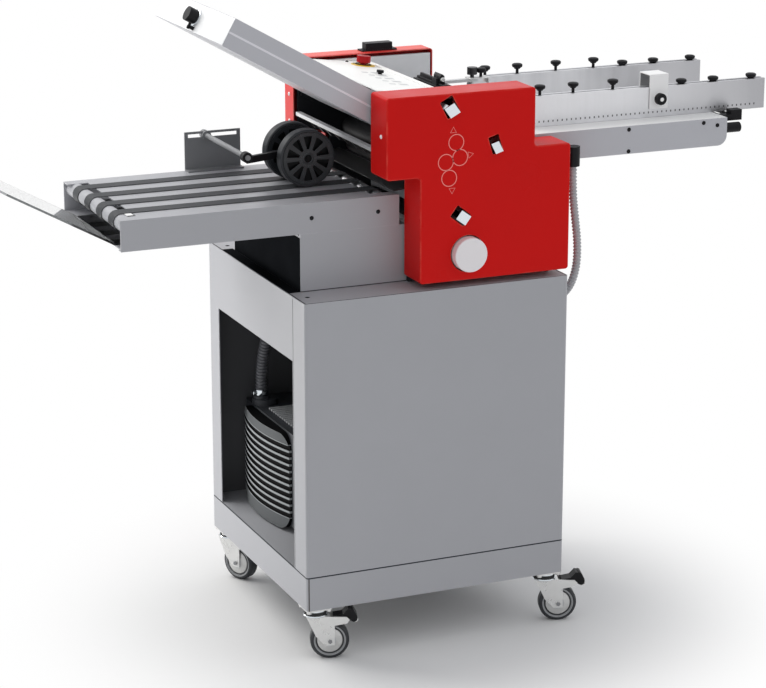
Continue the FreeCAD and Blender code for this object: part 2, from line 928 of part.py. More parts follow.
def front_cover():
    shell = cover_shell(cover_front_face, frame_outer_front + cover_overlap)
    tools = [rod_y(knob_hole, knob_x, knob_z, cover_front_face - 1, cover_front_face + cover_sheet + 1)]
    for number, (_, _, _, width, length) in lever_windows.items():
        window = box(-length / 2, length / 2, cover_front_face - 1, cover_front_face + cover_sheet + 1,
                     -width / 2, width / 2)
        window = round_along(window, AXIS_Y, 2)
        tools.append(lever_turned(window, number))
    return cut(shell, tools)


def rear_cover():
    return cover_shell(cover_rear_face, frame_outer_rear - cover_overlap)


def rear_box():
    """Small terminal box on top of the rear cover."""
    middle = (cover_rear_face + frame_outer_rear) / 2
    low = upper_high
    base = box(box_x - box_base_margin, box_x + box_length + box_base_margin,
               middle - box_width / 2, middle + box_width / 2, low, low + box_base)
    body = box(box_x, box_x + box_length, middle - box_width / 2 + 1, middle + box_width / 2 - 1,
               low + box_base, low + box_base + box_height)
    return fuse([base, round_along(body, AXIS_Z, 2)])


# ---------------------------------------------------------------- rollers and drive

def gear_turns():
    """Angle of one tooth on each roller gear, so that every pair is in mesh."""
    centres = roller_centres()
    pitch = 2 * math.pi / gear_teeth
    turns = {1: 0.0}
    for number in (1, 2, 3):
        x0, z0 = centres[number]
        x1, z1 = centres[number + 1]
        towards = math.atan2(z1 - z0, x1 - x0)
        back = towards + math.pi
        turns[number + 1] = back - (turns[number] - towards) + pitch / 2
    return turns


def gear(number, y0, y1):
    """Straight-sided spur gear whose pitch circle is the roller pitch."""
    x, z = roller_centres()[number]
    module = roller_pitch / gear_teeth
    middle = roller_pitch / 2
    tip = middle + 0.85 * module
    root = middle - 1.2 * module
    pitch = 2 * math.pi / gear_teeth
    start = gear_turns()[number]
    outline = []
    for tooth in range(gear_teeth):
        angle = start + tooth * pitch
        for radius, offset in ((root, -0.34), (tip, -0.11), (tip, 0.11), (root, 0.34)):
            turn = angle + offset * pitch
            outline.append((x + radius * math.cos(turn), z + radius * math.sin(turn)))
    return prism(outline, y0, y1).cut(rod_y(shaft_radius, x, z, y0 - 1, y1 + 1))


def fold_roller(number):
    """Roller on its shaft, with its gear behind the rear frame."""
    x, z = roller_centres()[number]
    end = gear_y + gear_width
    if number == 4:
        end = pulley_y + pulley_width
    shaft = rod_y(shaft_radius, x, z, frame_outer_front - shaft_stub, end)
    sleeve = rod_y(roller_radius, x, z, frame_front + roller_end_gap, frame_rear - roller_end_gap)
    pieces = [fuse([shaft, sleeve]), gear(number, gear_y, gear_y + gear_width)]
    if number == 4:
        pulley = rod_y(pulley_radius, x, z, pulley_y, pulley_y + pulley_width)
        pieces.append(pulley.cut(rod_y(shaft_radius, x, z, pulley_y - 1, pulley_y + pulley_width + 1)))
    return pieces


def handwheel():
    """Knob, main shaft across the machine and its pulley."""
    end = pulley_y + pulley_width
    face = knob_front_face
    knob = rod_y(knob_radius, knob_x, knob_z, face, face + knob_length)
    knob = at_level(knob, AXIS_Y, face, 2.5)
    seat = face + knob_length / 2
    knob = knob.cut(rod_y(main_shaft_radius, knob_x, knob_z, seat, face + knob_length + 1))
    shaft = rod_y(main_shaft_radius, knob_x, knob_z, seat, end)
    pulley = rod_y(pulley_radius, knob_x, knob_z, pulley_y, end)
    pulley = pulley.cut(rod_y(main_shaft_radius, knob_x, knob_z, pulley_y - 1, end + 1))
    return [knob, shaft, pulley]


def loop_block(first, second, radius, y0, y1):
    """Solid round two parallel axes, as a belt runs."""
    dx = second[0] - first[0]
    dz = second[1] - first[1]
    length = math.hypot(dx, dz)
    side_x = -dz / length * radius
    side_z = dx / length * radius
    straight = prism([
        (first[0] + side_x, first[1] + side_z), (second[0] + side_x, second[1] + side_z),
        (second[0] - side_x, second[1] - side_z), (first[0] - side_x, first[1] - side_z),
    ], y0, y1)
    ends = [rod_y(radius, x, z, y0, y1) for x, z in (first, second)]
    return fuse([straight] + ends)


def gear_motor():
    """Parallel-shaft gear motor round the main shaft, on the rear frame."""
    start = frame_rear - gearbox_length
    case = loop_block((knob_x, knob_z), (motor_x, motor_z), gearbox_radius, start, frame_rear)
    can = rod_y(motor_radius, motor_x, motor_z, start - motor_length, start + 1)
    bore = rod_y(main_shaft_radius + face_gap, knob_x, knob_z, start - 1, frame_rear + 1)
    return fuse([case, can]).cut(bore)


def drive_belt():
    first = (knob_x, knob_z)
    second = roller_centres()[4]
    y0 = pulley_y + 1
    y1 = pulley_y + pulley_width - 1
    inner = pulley_radius + belt_gap
    outer = loop_block(first, second, inner + belt_sheet, y0, y1)
    return outer.cut(loop_block(first, second, inner, y0 - 1, y1 + 1))


def gap_lever(number):
    """Lever on the front frame whose bright tab shows in the cover's window."""
    _, _, _, width, length = lever_windows[number]
    side = lever_side[number]
    high_y = frame_outer_front - lever_standoff
    low_y = high_y - lever_sheet
    pivot_z = side * lever_radius
    tab_end = length / 2 - lever_end_margin
    tab_start = tab_end - lever_tab_length
    tab_x = (tab_start + tab_end) / 2
    half = width / 2 - lever_tab_margin
    hub = rod_y(lever_hub_radius, 0, pivot_z, low_y, high_y)
    arm = prism([(tab_x - 5, 0), (tab_x + 5, 0), (5, pivot_z), (-5, pivot_z)], low_y, high_y)
    stem = box(tab_x - 2, tab_x + 2, cover_front_face - 3, high_y, -6, 6)
    face = cover_front_face + 1
    corners = [
        vec(tab_start, face, -half), vec(tab_end, face - lever_tab_rise, -half),
        vec(tab_end, face - lever_tab_rise + lever_tab_sheet, -half),
        vec(tab_start, face + lever_tab_sheet, -half),
    ]
    tab = Part.Face(Part.makePolygon(corners + corners[:1])).extrude(vec(0, 0, 2 * half))
    bore = rod_y(lever_pin_radius + bearing_gap, 0, pivot_z, low_y - 1, high_y + 1)
    body = fuse([arm.fuse(hub).cut(bore), stem, tab])
    return lever_turned(body, number)


# ---------------------------------------------------------------- top cover

def lid_z(x):
    return lid_left_z - (x - lid_left) * lid_fall


def lid_normal():
    way = vec(lid_fall, 0, 1)
    way.normalize()
    return way


def button_bore(x, y, radius):
    way = lid_normal()
    start = vec(x, y, lid_z(x)) - way * 20
    return Part.makeCylinder(radius, 40, start, way)


def top_cover():
    """Sloping lid over the fold rollers, hinged on its right edge."""
    y0 = frame_front + lid_side_gap
    y1 = frame_rear - lid_side_gap
    flange_low = lid_right_z - lid_flange
    outline = [
        (lid_left, lid_left_z), (lid_right, lid_right_z), (lid_right, flange_low),
        (lid_right - sheet, flange_low), (lid_right - sheet, lid_z(lid_right - sheet) - sheet),
        (lid_left, lid_left_z - sheet),
    ]
    pieces = [prism(outline, y0, y1)]
    bores = []
    for middle in hinge_eye_y:
        start = middle - hinge_eye_width / 2
        end = middle + hinge_eye_width / 2
        pieces.append(rod_y(hinge_eye_radius, hinge_x, hinge_z, start, end))
        pieces.append(box(lid_right - 1, hinge_x, start, end, hinge_z - 5, hinge_z + 5))
        bores.append(rod_y(hinge_rod_radius + bearing_gap, hinge_x, hinge_z, start - 1, end + 1))
    bores.append(button_bore(estop_x, estop_y, estop_stem_radius + button_hole_gap))
    bores.append(button_bore(start_x, start_y, start_stem_radius + button_hole_gap))
    return cut(fuse(pieces), bores)


def push_button(x, y, radius, height, lift, stem_radius):
    way = lid_normal()
    seat = vec(x, y, lid_z(x)) + way * lift
    head = Part.makeCylinder(radius, height, seat, way)
    stem = Part.makeCylinder(stem_radius, button_stem + lift, seat - way * (button_stem + lift), way)
    return fuse([head, stem])


def estop_button():
    return push_button(estop_x, estop_y, estop_radius, estop_height, estop_lift, estop_stem_radius)


def start_button():
    return push_button(start_x, start_y, start_radius, start_height, start_lift, start_stem_radius)


# ---------------------------------------------------------------- fold plates

def on_slope(shape):
    """Move from the upper plate's own axes to the machine."""
    moved = shape.copy()
    moved.rotate(vec(0, 0, 0), AXIS_Y, plate_slope)
    moved.translate(vec(plate_end_x, 0, plate_end_z))
    return moved


def upper_plate():
    """Fold plate: two stiff skins with the narrow paper channel between."""
    y0 = frame_front + plate_side_gap
    y1 = frame_rear - plate_side_gap
    half = plate_thickness / 2
    nose_half = plate_nose_thickness / 2
    gap = paper_gap / 2
    body = box(0, plate_length, y0, y1, -half, half)
    nose = box(plate_length - 1, plate_length + plate_nose, y0, y1, -nose_half, nose_half)
    whole = fuse([body, nose])
    channel = box(plate_slot_start, plate_length + plate_nose + 1, y0 + plate_slot_margin,
                  y1 - plate_slot_margin, -gap, gap)
    crease = box(-1, plate_length + 1, y0 - 1, y0 + 0.8, -0.8, 0.8)
    bore = Part.makeCylinder(knob_end_shaft + bearing_gap, plate_slot_start + 2,
                             vec(-1, knob_end_y, 0), AXIS_X)
    tools = [channel, crease, bore]
    cell = (y1 - y0 - plate_skin) / plate_cells
    low = gap + plate_skin
    high = half - plate_skin
    cell_x = (plate_length - plate_skin) / plate_cells
    for row in range(plate_cells):
        for column in range(plate_cells):
            start_y = y0 + plate_skin + column * cell
            end_y = start_y + cell - plate_skin
            start_x = plate_skin + row * cell_x
            end_x = start_x + cell_x - plate_skin
            tools.append(box(start_x, end_x, start_y, end_y, low, high))
            tools.append(box(start_x, end_x, start_y, end_y, -high, -low))
    return on_slope(cut(whole, tools))


def upper_stop():
    """Bar in the channel that sets the length of the first fold."""
    y0 = frame_front + plate_side_gap + plate_slot_margin + stop_end_gap
    y1 = frame_rear - plate_side_gap - plate_slot_margin - stop_end_gap
    half = paper_gap / 2 - stop_gap
    return on_slope(box(stop_position, stop_position + stop_depth, y0, y1, -half, half))


def stop_knob():
    head = Part.makeCylinder(knob_end_radius, knob_end_length, vec(-knob_end_length - face_gap, knob_end_y, 0),
                             AXIS_X)
    shaft = Part.makeCylinder(knob_end_shaft, plate_slot_start + face_gap,
                              vec(-face_gap - 1, knob_end_y, 0), AXIS_X)
    return on_slope(fuse([head, shaft]))


def lower_plate():
    """Second fold plate, below the rollers, between the frames."""
    half = lower_thickness / 2
    gap = paper_gap / 2
    body = box(lower_start, lower_end, frame_front, frame_rear, -half, half)
    channel = box(lower_start - 1, lower_slot_end, frame_front + plate_slot_margin,
                  frame_rear - plate_slot_margin, -gap, gap)
    plate = body.cut(channel)
    plate.rotate(vec(0, 0, 0), AXIS_Y, lower_slope)
    plate.translate(vec(lower_mouth_x, 0, lower_mouth_z))
    return plate


def cross_bars():
    """Bars and sheet guides that run between the two side frames."""
    bar = box(bar_x - bar_width / 2, bar_x + bar_width / 2, frame_front, frame_rear,
              bar_z - bar_height / 2, bar_z + bar_height / 2)
    pitch = (frame_rear - frame_front) / (finger_count + 1)
    fingers = []
    outline = [(bar_x + x, bar_z + z) for x, z in finger_outline]
    for index in range(finger_count):
        y = frame_front + (index + 1) * pitch
        fingers.append(prism(outline, y, y + finger_width))
    comb = fuse([bar] + fingers)
    rest_z = lid_z(rest_bar_x) - sheet - slide_gap - rest_bar_radius * 1.02
    rest = rod_y(rest_bar_radius, rest_bar_x, rest_z, frame_front, frame_rear)
    hinge = rod_y(hinge_rod_radius, hinge_x, hinge_z, frame_front, frame_rear)
    guides = []
    for start, end in (infeed_guide, outfeed_guide):
        outline = [start, end, (end[0], end[1] + sheet), (start[0], start[1] + sheet)]
        guides.append(prism(outline, frame_front, frame_rear))
    return [comb, rest, hinge] + guides


# ---------------------------------------------------------------- delivery

def belt_places():
    first = -belt_pitch * (belt_count - 1) / 2
    return [first + index * belt_pitch for index in range(belt_count)]


def delivery_frame():
    """Folded bed with deep side rails, and its fixed belt nose."""
    half = delivery_width / 2
    outer = box(delivery_end, delivery_start, -half, half, delivery_low, delivery_top)
    inner = box(delivery_end - 1, delivery_start + 1, -half + sheet, half - sheet,
                delivery_low + sheet, delivery_top - sheet)
    lip = half - delivery_lip
    mouth = box(delivery_end - 1, delivery_start + 1, -lip, lip, delivery_low - 1, delivery_low + sheet + 1)
    field = belt_field / 2
    room = belt_roller_radius + 6
    ends = [
        box(delivery_end - 1, nose_x + room, -field, field, delivery_top - sheet - 1, delivery_top + 1),
        box(belt_roller_x - room, delivery_start + 1, -field, field, delivery_top - sheet - 1, delivery_top + 1),
    ]
    bores = [rod_y(belt_shaft_radius + bearing_gap, belt_roller_x, belt_axis_z, -half + sheet, half + 1)]
    block = box(belt_roller_x - belt_block / 2, belt_roller_x + belt_block / 2, -half + sheet - 1,
                -half + sheet + belt_block_width, delivery_low + sheet, delivery_top - sheet + 1)
    frame = cut(fuse([cut(outer, [inner, mouth] + ends), block]), bores)
    nose = rod_y(belt_roller_radius - belt_gap, nose_x, belt_axis_z, -half + sheet, half - sheet)
    tie = box(tie_plate_x[0], tie_plate_x[1], -half + sheet, half - sheet, delivery_low, delivery_low + sheet)
    return fuse([frame, nose, tie])


def delivery_belts():
    belts = []
    inner = belt_roller_radius + belt_gap
    for middle in belt_places():
        y0 = middle - belt_width / 2
        y1 = middle + belt_width / 2
        first = (nose_x, belt_axis_z)
        second = (belt_roller_x, belt_axis_z)
        outer = loop_block(first, second, inner + belt_thickness, y0, y1)
        belts.append(outer.cut(loop_block(first, second, inner, y0 - 1, y1 + 1)))
    return belts


def belt_roller():
    half = delivery_width / 2
    field = belt_field / 2 - 2
    roller = rod_y(belt_roller_radius, belt_roller_x, belt_axis_z, -field, field)
    shaft = rod_y(belt_shaft_radius, belt_roller_x, belt_axis_z, -half + sheet + slide_gap,
                  half + belt_shaft_stub)
    return fuse([roller, shaft])


def catch_tray():
    """Clear sheet that rises away from the delivery's end."""
    y0 = tray_middle - tray_width / 2
    y1 = tray_middle + tray_width / 2
    low = delivery_low + sheet
    high = low + tray_sheet
    lean = tray_sheet * math.sin(tray_rise)
    rise_x = tray_end_x + lean
    rise_z = high + tray_reach * math.sin(tray_rise)
    under_z = rise_z - tray_sheet * math.cos(tray_rise)
    bend = tray_bend - tray_sheet * math.tan(tray_rise / 2)
    outline = [
        (tray_bend + tray_tab, high), (tray_bend, high), (rise_x, rise_z),
        (rise_x - lean, under_z), (bend, low), (tray_bend + tray_tab, low),
    ]
    solid = prism(outline, y0, y1)
    ends = []
    for edge in solid.Edges:
        bounds = edge.BoundBox
        if bounds.XMax < rise_x + 1 and bounds.YLength < 0.01:
            ends.append(edge)
    return solid.makeFillet(tray_corner, ends)


def press_bracket():
    """Slotted plate on the rear rail, with the rod that carries the arm."""
    y0 = bracket_y
    y1 = bracket_y + bracket_sheet
    plate = box(bracket_left, bracket_right, y0, y1, delivery_top, bracket_top)
    foot = box(bracket_left, bracket_right, y0 - bracket_foot, y1, delivery_top, delivery_top + bracket_sheet)
    slot_high = bracket_top - bracket_slot_drop
    slot = box(bracket_left + bracket_slot_margin, bracket_right - bracket_slot_margin, y0 - 1, y1 + 1,
               slot_high - bracket_slot_height, slot_high)
    plate = fuse([plate, foot]).cut(slot)
    thread = rod_y(bracket_slot_height / 2, press_rod_x, press_rod_z, y0 - 1, y1 + 1)
    shaft = rod_y(press_rod_radius, press_rod_x, press_rod_z, press_rod_front, y0)
    nut = rod_y(press_nut_radius, press_rod_x, press_rod_z, y0 - press_nut_width, y0)
    cap = rod_y(press_nut_radius, press_rod_x, press_rod_z, y1, press_rod_rear)
    return [plate, fuse([thread, shaft, nut, cap])]


def press_arm():
    """Cranked arm from the rod to the wheels' axle."""
    first = press_arm_rod_y + press_arm_width / 2
    second = press_arm_y + press_arm_width / 2
    half = press_arm_sheet / 2
    corners = [
        vec(press_rod_x, first - half, press_arm_low), vec(press_axle_x, second - half, press_arm_low),
        vec(press_axle_x, second + half, press_arm_low), vec(press_rod_x, first + half, press_arm_low),
    ]
    outline = Part.makePolygon(corners + corners[:1])
    beam = Part.Face(outline).extrude(vec(0, 0, press_arm_high - press_arm_low))
    eyes = []
    bores = []
    for x, z, y0, shaft in ((press_rod_x, press_rod_z, press_arm_rod_y, press_rod_radius),
                            (press_axle_x, press_axle_z, press_arm_y, press_axle_radius)):
        eyes.append(rod_y(press_eye_radius, x, z, y0, y0 + press_arm_width))
        bores.append(rod_y(shaft + bearing_gap, x, z, y0 - 20, y0 + press_arm_width + 20))
    return cut(fuse([beam] + eyes), bores)


def pocket(inner, outer, middle, spread, y0, y1):
    """Wedge-shaped pocket of a press wheel, between two radii."""
    points = []
    for radius, offset in ((inner, -0.3), (outer, -1.0), (outer, 1.0), (inner, 0.3)):
        turn = middle + offset * spread
        points.append((press_axle_x + radius * math.cos(turn), press_axle_z + radius * math.sin(turn)))
    return prism(points, y0, y1)


def press_wheels():
    """Two spoked wheels fixed on one axle, so that they turn together."""
    spread = math.pi / press_pockets * 0.62
    inner = press_hub + 4
    outer = press_wheel_radius - press_rim
    axle_start = press_wheel_y[0] - 2
    axle_end = press_wheel_y[1] + press_wheel_width + 2
    pieces = [rod_y(press_axle_radius, press_axle_x, press_axle_z, axle_start, axle_end)]
    for start in press_wheel_y:
        end = start + press_wheel_width
        disc = rod_y(press_wheel_radius, press_axle_x, press_axle_z, start, end)
        disc = at_level(disc, AXIS_Y, start, 3)
        disc = at_level(disc, AXIS_Y, end, 3)
        tools = [rod_y(press_axle_radius, press_axle_x, press_axle_z, start - 1, end + 1)]
        for index in range(press_pockets):
            middle = math.pi / 2 + index * 2 * math.pi / press_pockets
            tools.append(pocket(inner, outer, middle, spread, start - 1, start + press_pocket_depth))
            tools.append(pocket(inner, outer, middle, spread, end - press_pocket_depth, end + 1))
        pieces.append(cut(disc, tools))
    return pieces


# ---------------------------------------------------------------- feeder

def feed_table():
    """Folded feed table between the guides, with deep painted skirts."""
    half = table_width / 2
    outer = box(table_left, table_end, -half, half, table_bottom, table_top)
    corners = []
    for edge in outer.Edges:
        bounds = edge.BoundBox
        if bounds.XMin > table_end - 1 and bounds.ZMax < table_bottom + 1:
            corners.append(edge)
    outer = outer.makeFillet(table_corner, corners)
    inner = box(table_left - 1, table_end - sheet, -half + sheet, half - sheet,
                table_bottom - 1, table_top - sheet)
    spacer = box(table_left + 12, table_left + 62, half - 1, frame_rear, table_bottom + 9, table_top - 11)
    return fuse([outer.cut(inner), spacer])


def suction_drum():
    y0 = drum_middle - drum_length / 2
    y1 = drum_middle + drum_length / 2
    body = fuse([
        rod_y(drum_radius, drum_x, drum_z, y0, y1),
        rod_y(shaft_radius, drum_x, drum_z, frame_outer_front - shaft_stub, frame_outer_rear + shaft_stub),
    ])
    holes = []
    for row in range(3):
        y = drum_middle + (row - 1) * drum_length / 3.2
        for index in range(drum_holes):
            turn = 2 * math.pi * (index + 0.5 * (row % 2)) / drum_holes
            way = vec(math.cos(turn), 0, math.sin(turn))
            start = vec(drum_x, y, drum_z) + way * (drum_radius - drum_hole_depth)
            holes.append(Part.makeCylinder(drum_hole_radius, drum_hole_depth + 2, start, way))
    return cut(body, holes)


def side_guide(y0, start, end):
    """Hollow rail with a slot along its top for the thumb screws."""
    y1 = y0 + guide_width
    middle = (y0 + y1) / 2
    outer = box(start, end, y0, y1, guide_low, guide_high)
    inner = box(start - 1, end + 1, y0 + guide_wall, y1 - guide_wall, guide_low + guide_wall,
                guide_high - guide_wall)
    slot = box(start - 1, end + 1, middle - guide_slot / 2, middle + guide_slot / 2,
               guide_high - guide_wall - 1, guide_high + 1)
    return cut(outer, [inner, slot])


def thumb_screws(y0, shift, skipped):
    middle = y0 + guide_width / 2
    screws = []
    for index, place in enumerate(screw_pitch):
        if index == skipped:
            continue
        x = place + shift
        rise = screw_tall if index < tall_screws else screw_low
        seat = guide_high + rise
        low = guide_high - guide_wall - screw_nut_height
        stem = rod(screw_stem_radius, (x, middle, low), (x, middle, seat + 1))
        head = rod(screw_head_radius, (x, middle, seat), (x, middle, seat + screw_head_height))
        head = at_level(head, AXIS_Z, seat + screw_head_height, 1.5)
        nut = box(x - screw_nut / 2, x + screw_nut / 2, middle - screw_nut / 2, middle + screw_nut / 2,
                  low, low + screw_nut_height)
        screws.append(fuse([stem, head, nut]))
    return screws


def saddle():
    """Stop bracket straddling the front guide, with its clamp knob."""
    x0 = saddle_x - saddle_length / 2
    x1 = saddle_x + saddle_length / 2
    front = front_guide_y - saddle_gap
    outer_y = front - saddle_sheet
    back = outer_y + saddle_depth
    high = guide_high + saddle_rise
    outer = box(x0, x1, outer_y, back, saddle_leg_low, high)
    inner = box(x0 - 1, x1 + 1, front, back - saddle_sheet, saddle_leg_low - 1, high - saddle_sheet)
    below = box(x0 - 1, x1 + 1, back - saddle_sheet - 1, back + 1, saddle_leg_low - 1, saddle_back_low)
    knob = rod_y(saddle_knob_radius, saddle_x, saddle_knob_z, outer_y - saddle_knob_length, outer_y)
    return [cut(outer, [inner, below]), at_level(knob, AXIS_Y, outer_y - saddle_knob_length, 2)]


def end_rail():
    """Two rods past the table's end that the guides' tails slide on."""
    rod_z = table_top - rail_rod_radius - rail_rod_cover
    rods = []
    for x in rail_rod_x:
        rods.append(rod_y(rail_rod_radius, x, rod_z, -rail_block_y - rail_block_width, rail_block_y))
    blocks = []
    holes = []
    for x in rail_rod_x:
        holes.append(rod_y(rail_rod_radius, x, rod_z, -rail_block_y - rail_block_width - 1, rail_block_y + 1))
    for y0 in (-rail_block_y - rail_block_width, rail_block_y - rail_block_width):
        y1 = y0 + rail_block_width
        low = box(table_end, rail_block_end, y0, y1, rail_block_low, table_top)
        high_top = rail_block_high if y0 < 0 else table_top
        high = box(rail_block_step, rail_block_end, y0, y1, rail_block_low, high_top)
        blocks.append(cut(fuse([low, high]), holes))
    stud = rod(end_knob_stud, (table_end, end_knob_y, end_knob_z),
               (table_end + end_knob_length - 4, end_knob_y, end_knob_z))
    return rods + blocks + [stud]


def end_knob():
    start = table_end + face_gap
    knob = rod(end_knob_radius, (start, end_knob_y, end_knob_z), (start + end_knob_length, end_knob_y, end_knob_z))
    knob = at_level(knob, AXIS_X, start + end_knob_length, 2)
    bore = rod(end_knob_stud + bearing_gap, (start - 1, end_knob_y, end_knob_z),
               (table_end + end_knob_length - 3, end_knob_y, end_knob_z))
    return knob.cut(bore)


def separator():
    """Beam over the feed mouth, with its blade, side arm and height spindle."""
    beam = box(beam_left, beam_right, frame_front, beam_end, beam_low, beam_high)
    handle = box(beam_left + 2, beam_right - 2, separator_handle_y[0], separator_handle_y[1],
                 beam_high - 1, beam_high + 14)
    tip = drum_z + drum_radius + blade_gap
    blade = prism([
        (beam_right - blade_sheet, beam_low + 1), (beam_right, beam_low + 1),
        (drum_x, tip), (drum_x - blade_sheet, tip),
    ], -blade_width / 2, blade_width / 2)
    arm = box(beam_right - 1, arm_end, beam_end - arm_width, beam_end, beam_low, beam_low + arm_height)
    y = beam_end - arm_width / 2
    top = beam_low + arm_height
    spindle = rod(spindle_radius, (spindle_x, y, table_top + 14), (spindle_x, y, top + 8))
    knob = rod(spindle_knob_radius, (spindle_x, y, top + 8), (spindle_x, y, top + 8 + spindle_knob_height))
    foot = rod(spindle_knob_radius + 2, (spindle_x, y, table_top + 10), (spindle_x, y, table_top + 14))
    return fuse([beam, handle, blade, arm, spindle, knob, foot])


# ---------------------------------------------------------------- conduit

def conduit_fittings():
    """Black elbows at both ends of the conduit."""
    x, y, z = conduit_route[0]
    upper = rod(gland_radius, (x, y, z), (x, y, z + gland_length))
    stub = rod(elbow_radius, (lower_right, y, z + gland_length - elbow_radius), (x, y, z + gland_length - elbow_radius))
    end_x, end_y, end_z = conduit_route[-1]
    lower = rod(gland_radius, (end_x, end_y, end_z), (end_x, end_y + gland_length, end_z))
    lower_y = end_y + gland_length - elbow_radius
    lower_stub = rod(elbow_radius, (stand_x, lower_y, end_z), (end_x, lower_y, end_z))
    return [fuse([upper, stub]), fuse([lower, lower_stub])]


def mains_inlet():
    """Round socket low on the stand's right side, for the mains lead."""
    inlet = rod(inlet_radius, (stand_x, inlet_y, inlet_z), (stand_x + inlet_length, inlet_y, inlet_z))
    socket = rod(inlet_radius - 4, (stand_x + 3, inlet_y, inlet_z), (stand_x + inlet_length + 1, inlet_y, inlet_z))
    return inlet.cut(socket)


def main():
    os.makedirs("parts", exist_ok=True)
    save("base_tray", base_tray())
    save("cabinet_shell", cabinet_shell())
    save("cabinet_top", cabinet_top())
    save("castor_plates", *castor_plates())
    wheel = castor_wheel()
    for corner in castor_places():
        braked = corner.startswith("f")
        save("castor_fork_" + corner, castor_place(castor_fork(braked), corner))
        save("castor_wheel_" + corner, castor_place(wheel, corner))
        if braked:
            save("brake_pedal_" + corner, castor_place(brake_pedal(), corner))
    save("pump_body", *pump_body())
    save("pump_hood", pump_hood())
    save("pump_hose", tube("pump_hose", hose_route, hose_radius))
    save_unit("pedestal", pedestal())
    save_unit("front_frame", *front_frame())
    save_unit("rear_frame", *rear_frame())
    save_unit("front_cover", front_cover())
    save_unit("rear_cover", rear_cover())
    save_unit("rear_box", rear_box())
    save_unit("top_cover", top_cover())
    save_unit("estop_button", estop_button())
    save_unit("start_button", start_button())
    for number in roller_centres():
        save_unit("fold_roller_" + str(number), *fold_roller(number))
    save_unit("handwheel", *handwheel())
    save_unit("gear_motor", gear_motor())
    save_unit("drive_belt", drive_belt())
    for number in lever_windows:
        save_unit("gap_lever_" + str(number), gap_lever(number))
    save_unit("upper_plate", upper_plate())
    save_unit("upper_stop", upper_stop())
    save_unit("stop_knob", stop_knob())
    save_unit("lower_plate", lower_plate())
    save_unit("cross_bars", *cross_bars())
    save_unit("delivery_frame", delivery_frame())
    save_unit("delivery_belts", *delivery_belts())
    save_unit("belt_roller", belt_roller())
    save_unit("catch_tray", catch_tray())
    save_unit("press_bracket", *press_bracket())
    save_unit("press_arm", press_arm())
    save_unit("press_wheels", *press_wheels())
    save_unit("feed_table", feed_table())
    save_unit("suction_drum", suction_drum())
    save_unit("front_guide", side_guide(front_guide_y, guide_start, front_guide_end))
    save_unit("rear_guide", side_guide(rear_guide_y, guide_start, rear_guide_end))
    save_unit("guide_screws_front", *thumb_screws(front_guide_y, screw_shift, 3))
    save_unit("guide_screws_rear", *thumb_screws(rear_guide_y, 0.0, None))
    save_unit("saddle", *saddle())
    save_unit("end_rail", *end_rail())
    save_unit("end_knob", end_knob())
    save_unit("separator", separator())
    save_unit("conduit", tube("conduit", conduit_route, conduit_radius))
    save("conduit_fittings", *raised(conduit_fittings()), mains_inlet())


main()
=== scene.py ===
# %% [markdown]
# # Dressing a paper folding machine
# This machine takes sheets from a stack, buckles them between rollers and lays them folded on a
# belt. Its solids are already made in CAD, and they stay exactly where they are. Here they get
# their paint, metal, rubber and plastic, and the small pieces that CAD leaves out.

# %% Load the solids of the machine
import bpy
import bmesh
import math
from mathutils import Matrix, Vector


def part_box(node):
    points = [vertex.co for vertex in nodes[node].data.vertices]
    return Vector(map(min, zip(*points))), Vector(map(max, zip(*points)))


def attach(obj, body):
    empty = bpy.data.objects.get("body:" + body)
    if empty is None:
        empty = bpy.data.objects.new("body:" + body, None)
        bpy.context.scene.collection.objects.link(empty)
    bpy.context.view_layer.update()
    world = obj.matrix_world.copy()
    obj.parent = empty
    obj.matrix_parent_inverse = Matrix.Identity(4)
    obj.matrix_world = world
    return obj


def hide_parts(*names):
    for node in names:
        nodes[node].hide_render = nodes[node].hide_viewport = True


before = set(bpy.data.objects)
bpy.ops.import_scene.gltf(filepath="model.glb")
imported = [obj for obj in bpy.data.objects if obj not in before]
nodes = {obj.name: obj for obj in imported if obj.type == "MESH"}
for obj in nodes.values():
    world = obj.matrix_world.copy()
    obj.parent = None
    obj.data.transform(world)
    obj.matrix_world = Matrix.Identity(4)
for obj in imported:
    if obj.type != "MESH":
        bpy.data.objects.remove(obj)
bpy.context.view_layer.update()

# %% [markdown]
# The machine was drawn in millimetres from the middle of its stand.
# Blender works in metres, and the frame's origin is the middle of the whole footprint.
# One small helper turns the drawing's numbers into places in the scene, so every
# later number can be read straight off the drawing.

# %% Work in the drawing's millimetres
tray_low, tray_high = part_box("base_tray")
stand_middle = (tray_low + tray_high) / 2


def millimetres(value):
    return value / 1000


def at(x, y, z):
    """Place in the scene of a point in the drawing."""
    return Vector((stand_middle.x + x / 1000, stand_middle.y + y / 1000, z / 1000))


print("middle of the stand:", [round(v, 4) for v in stand_middle])

# %% [markdown]
# The camera comes first, because it settles how much detail each piece needs.
# A long lens from a few metres away keeps the cabinet's upright edges nearly parallel.
# It stands to the left of the operator's side and looks down on the machine a little.

# %% Set up the camera
camera_place = Vector((-1.94232, -4.53154, 1.9622))
camera_turn = 0.40617
camera_dip = 0.28131

camera_data = bpy.data.cameras.new("machine_camera")
camera_data.lens = 122.08
camera_data.sensor_width = 36.0
camera = bpy.data.objects.new("machine_camera", camera_data)
camera.location = camera_place
camera.rotation_euler = (math.pi / 2 - camera_dip, 0.0, -camera_turn)
bpy.context.scene.collection.objects.link(camera)
bpy.context.scene.camera = camera
print("camera", round(camera_place.length, 2), "m from the machine")

# %% [markdown]
# ## Two ribbed tubes
# The machine has two free tubes: a thin conduit with the wires of the feeder, and the air hose
# of the pump. Both are corrugated plastic, and both go from one fitting into another.
# A tube follows one smooth line. A NURBS spline gives such a line from a handful of points,
# and its order and end settings count only once the points are there.

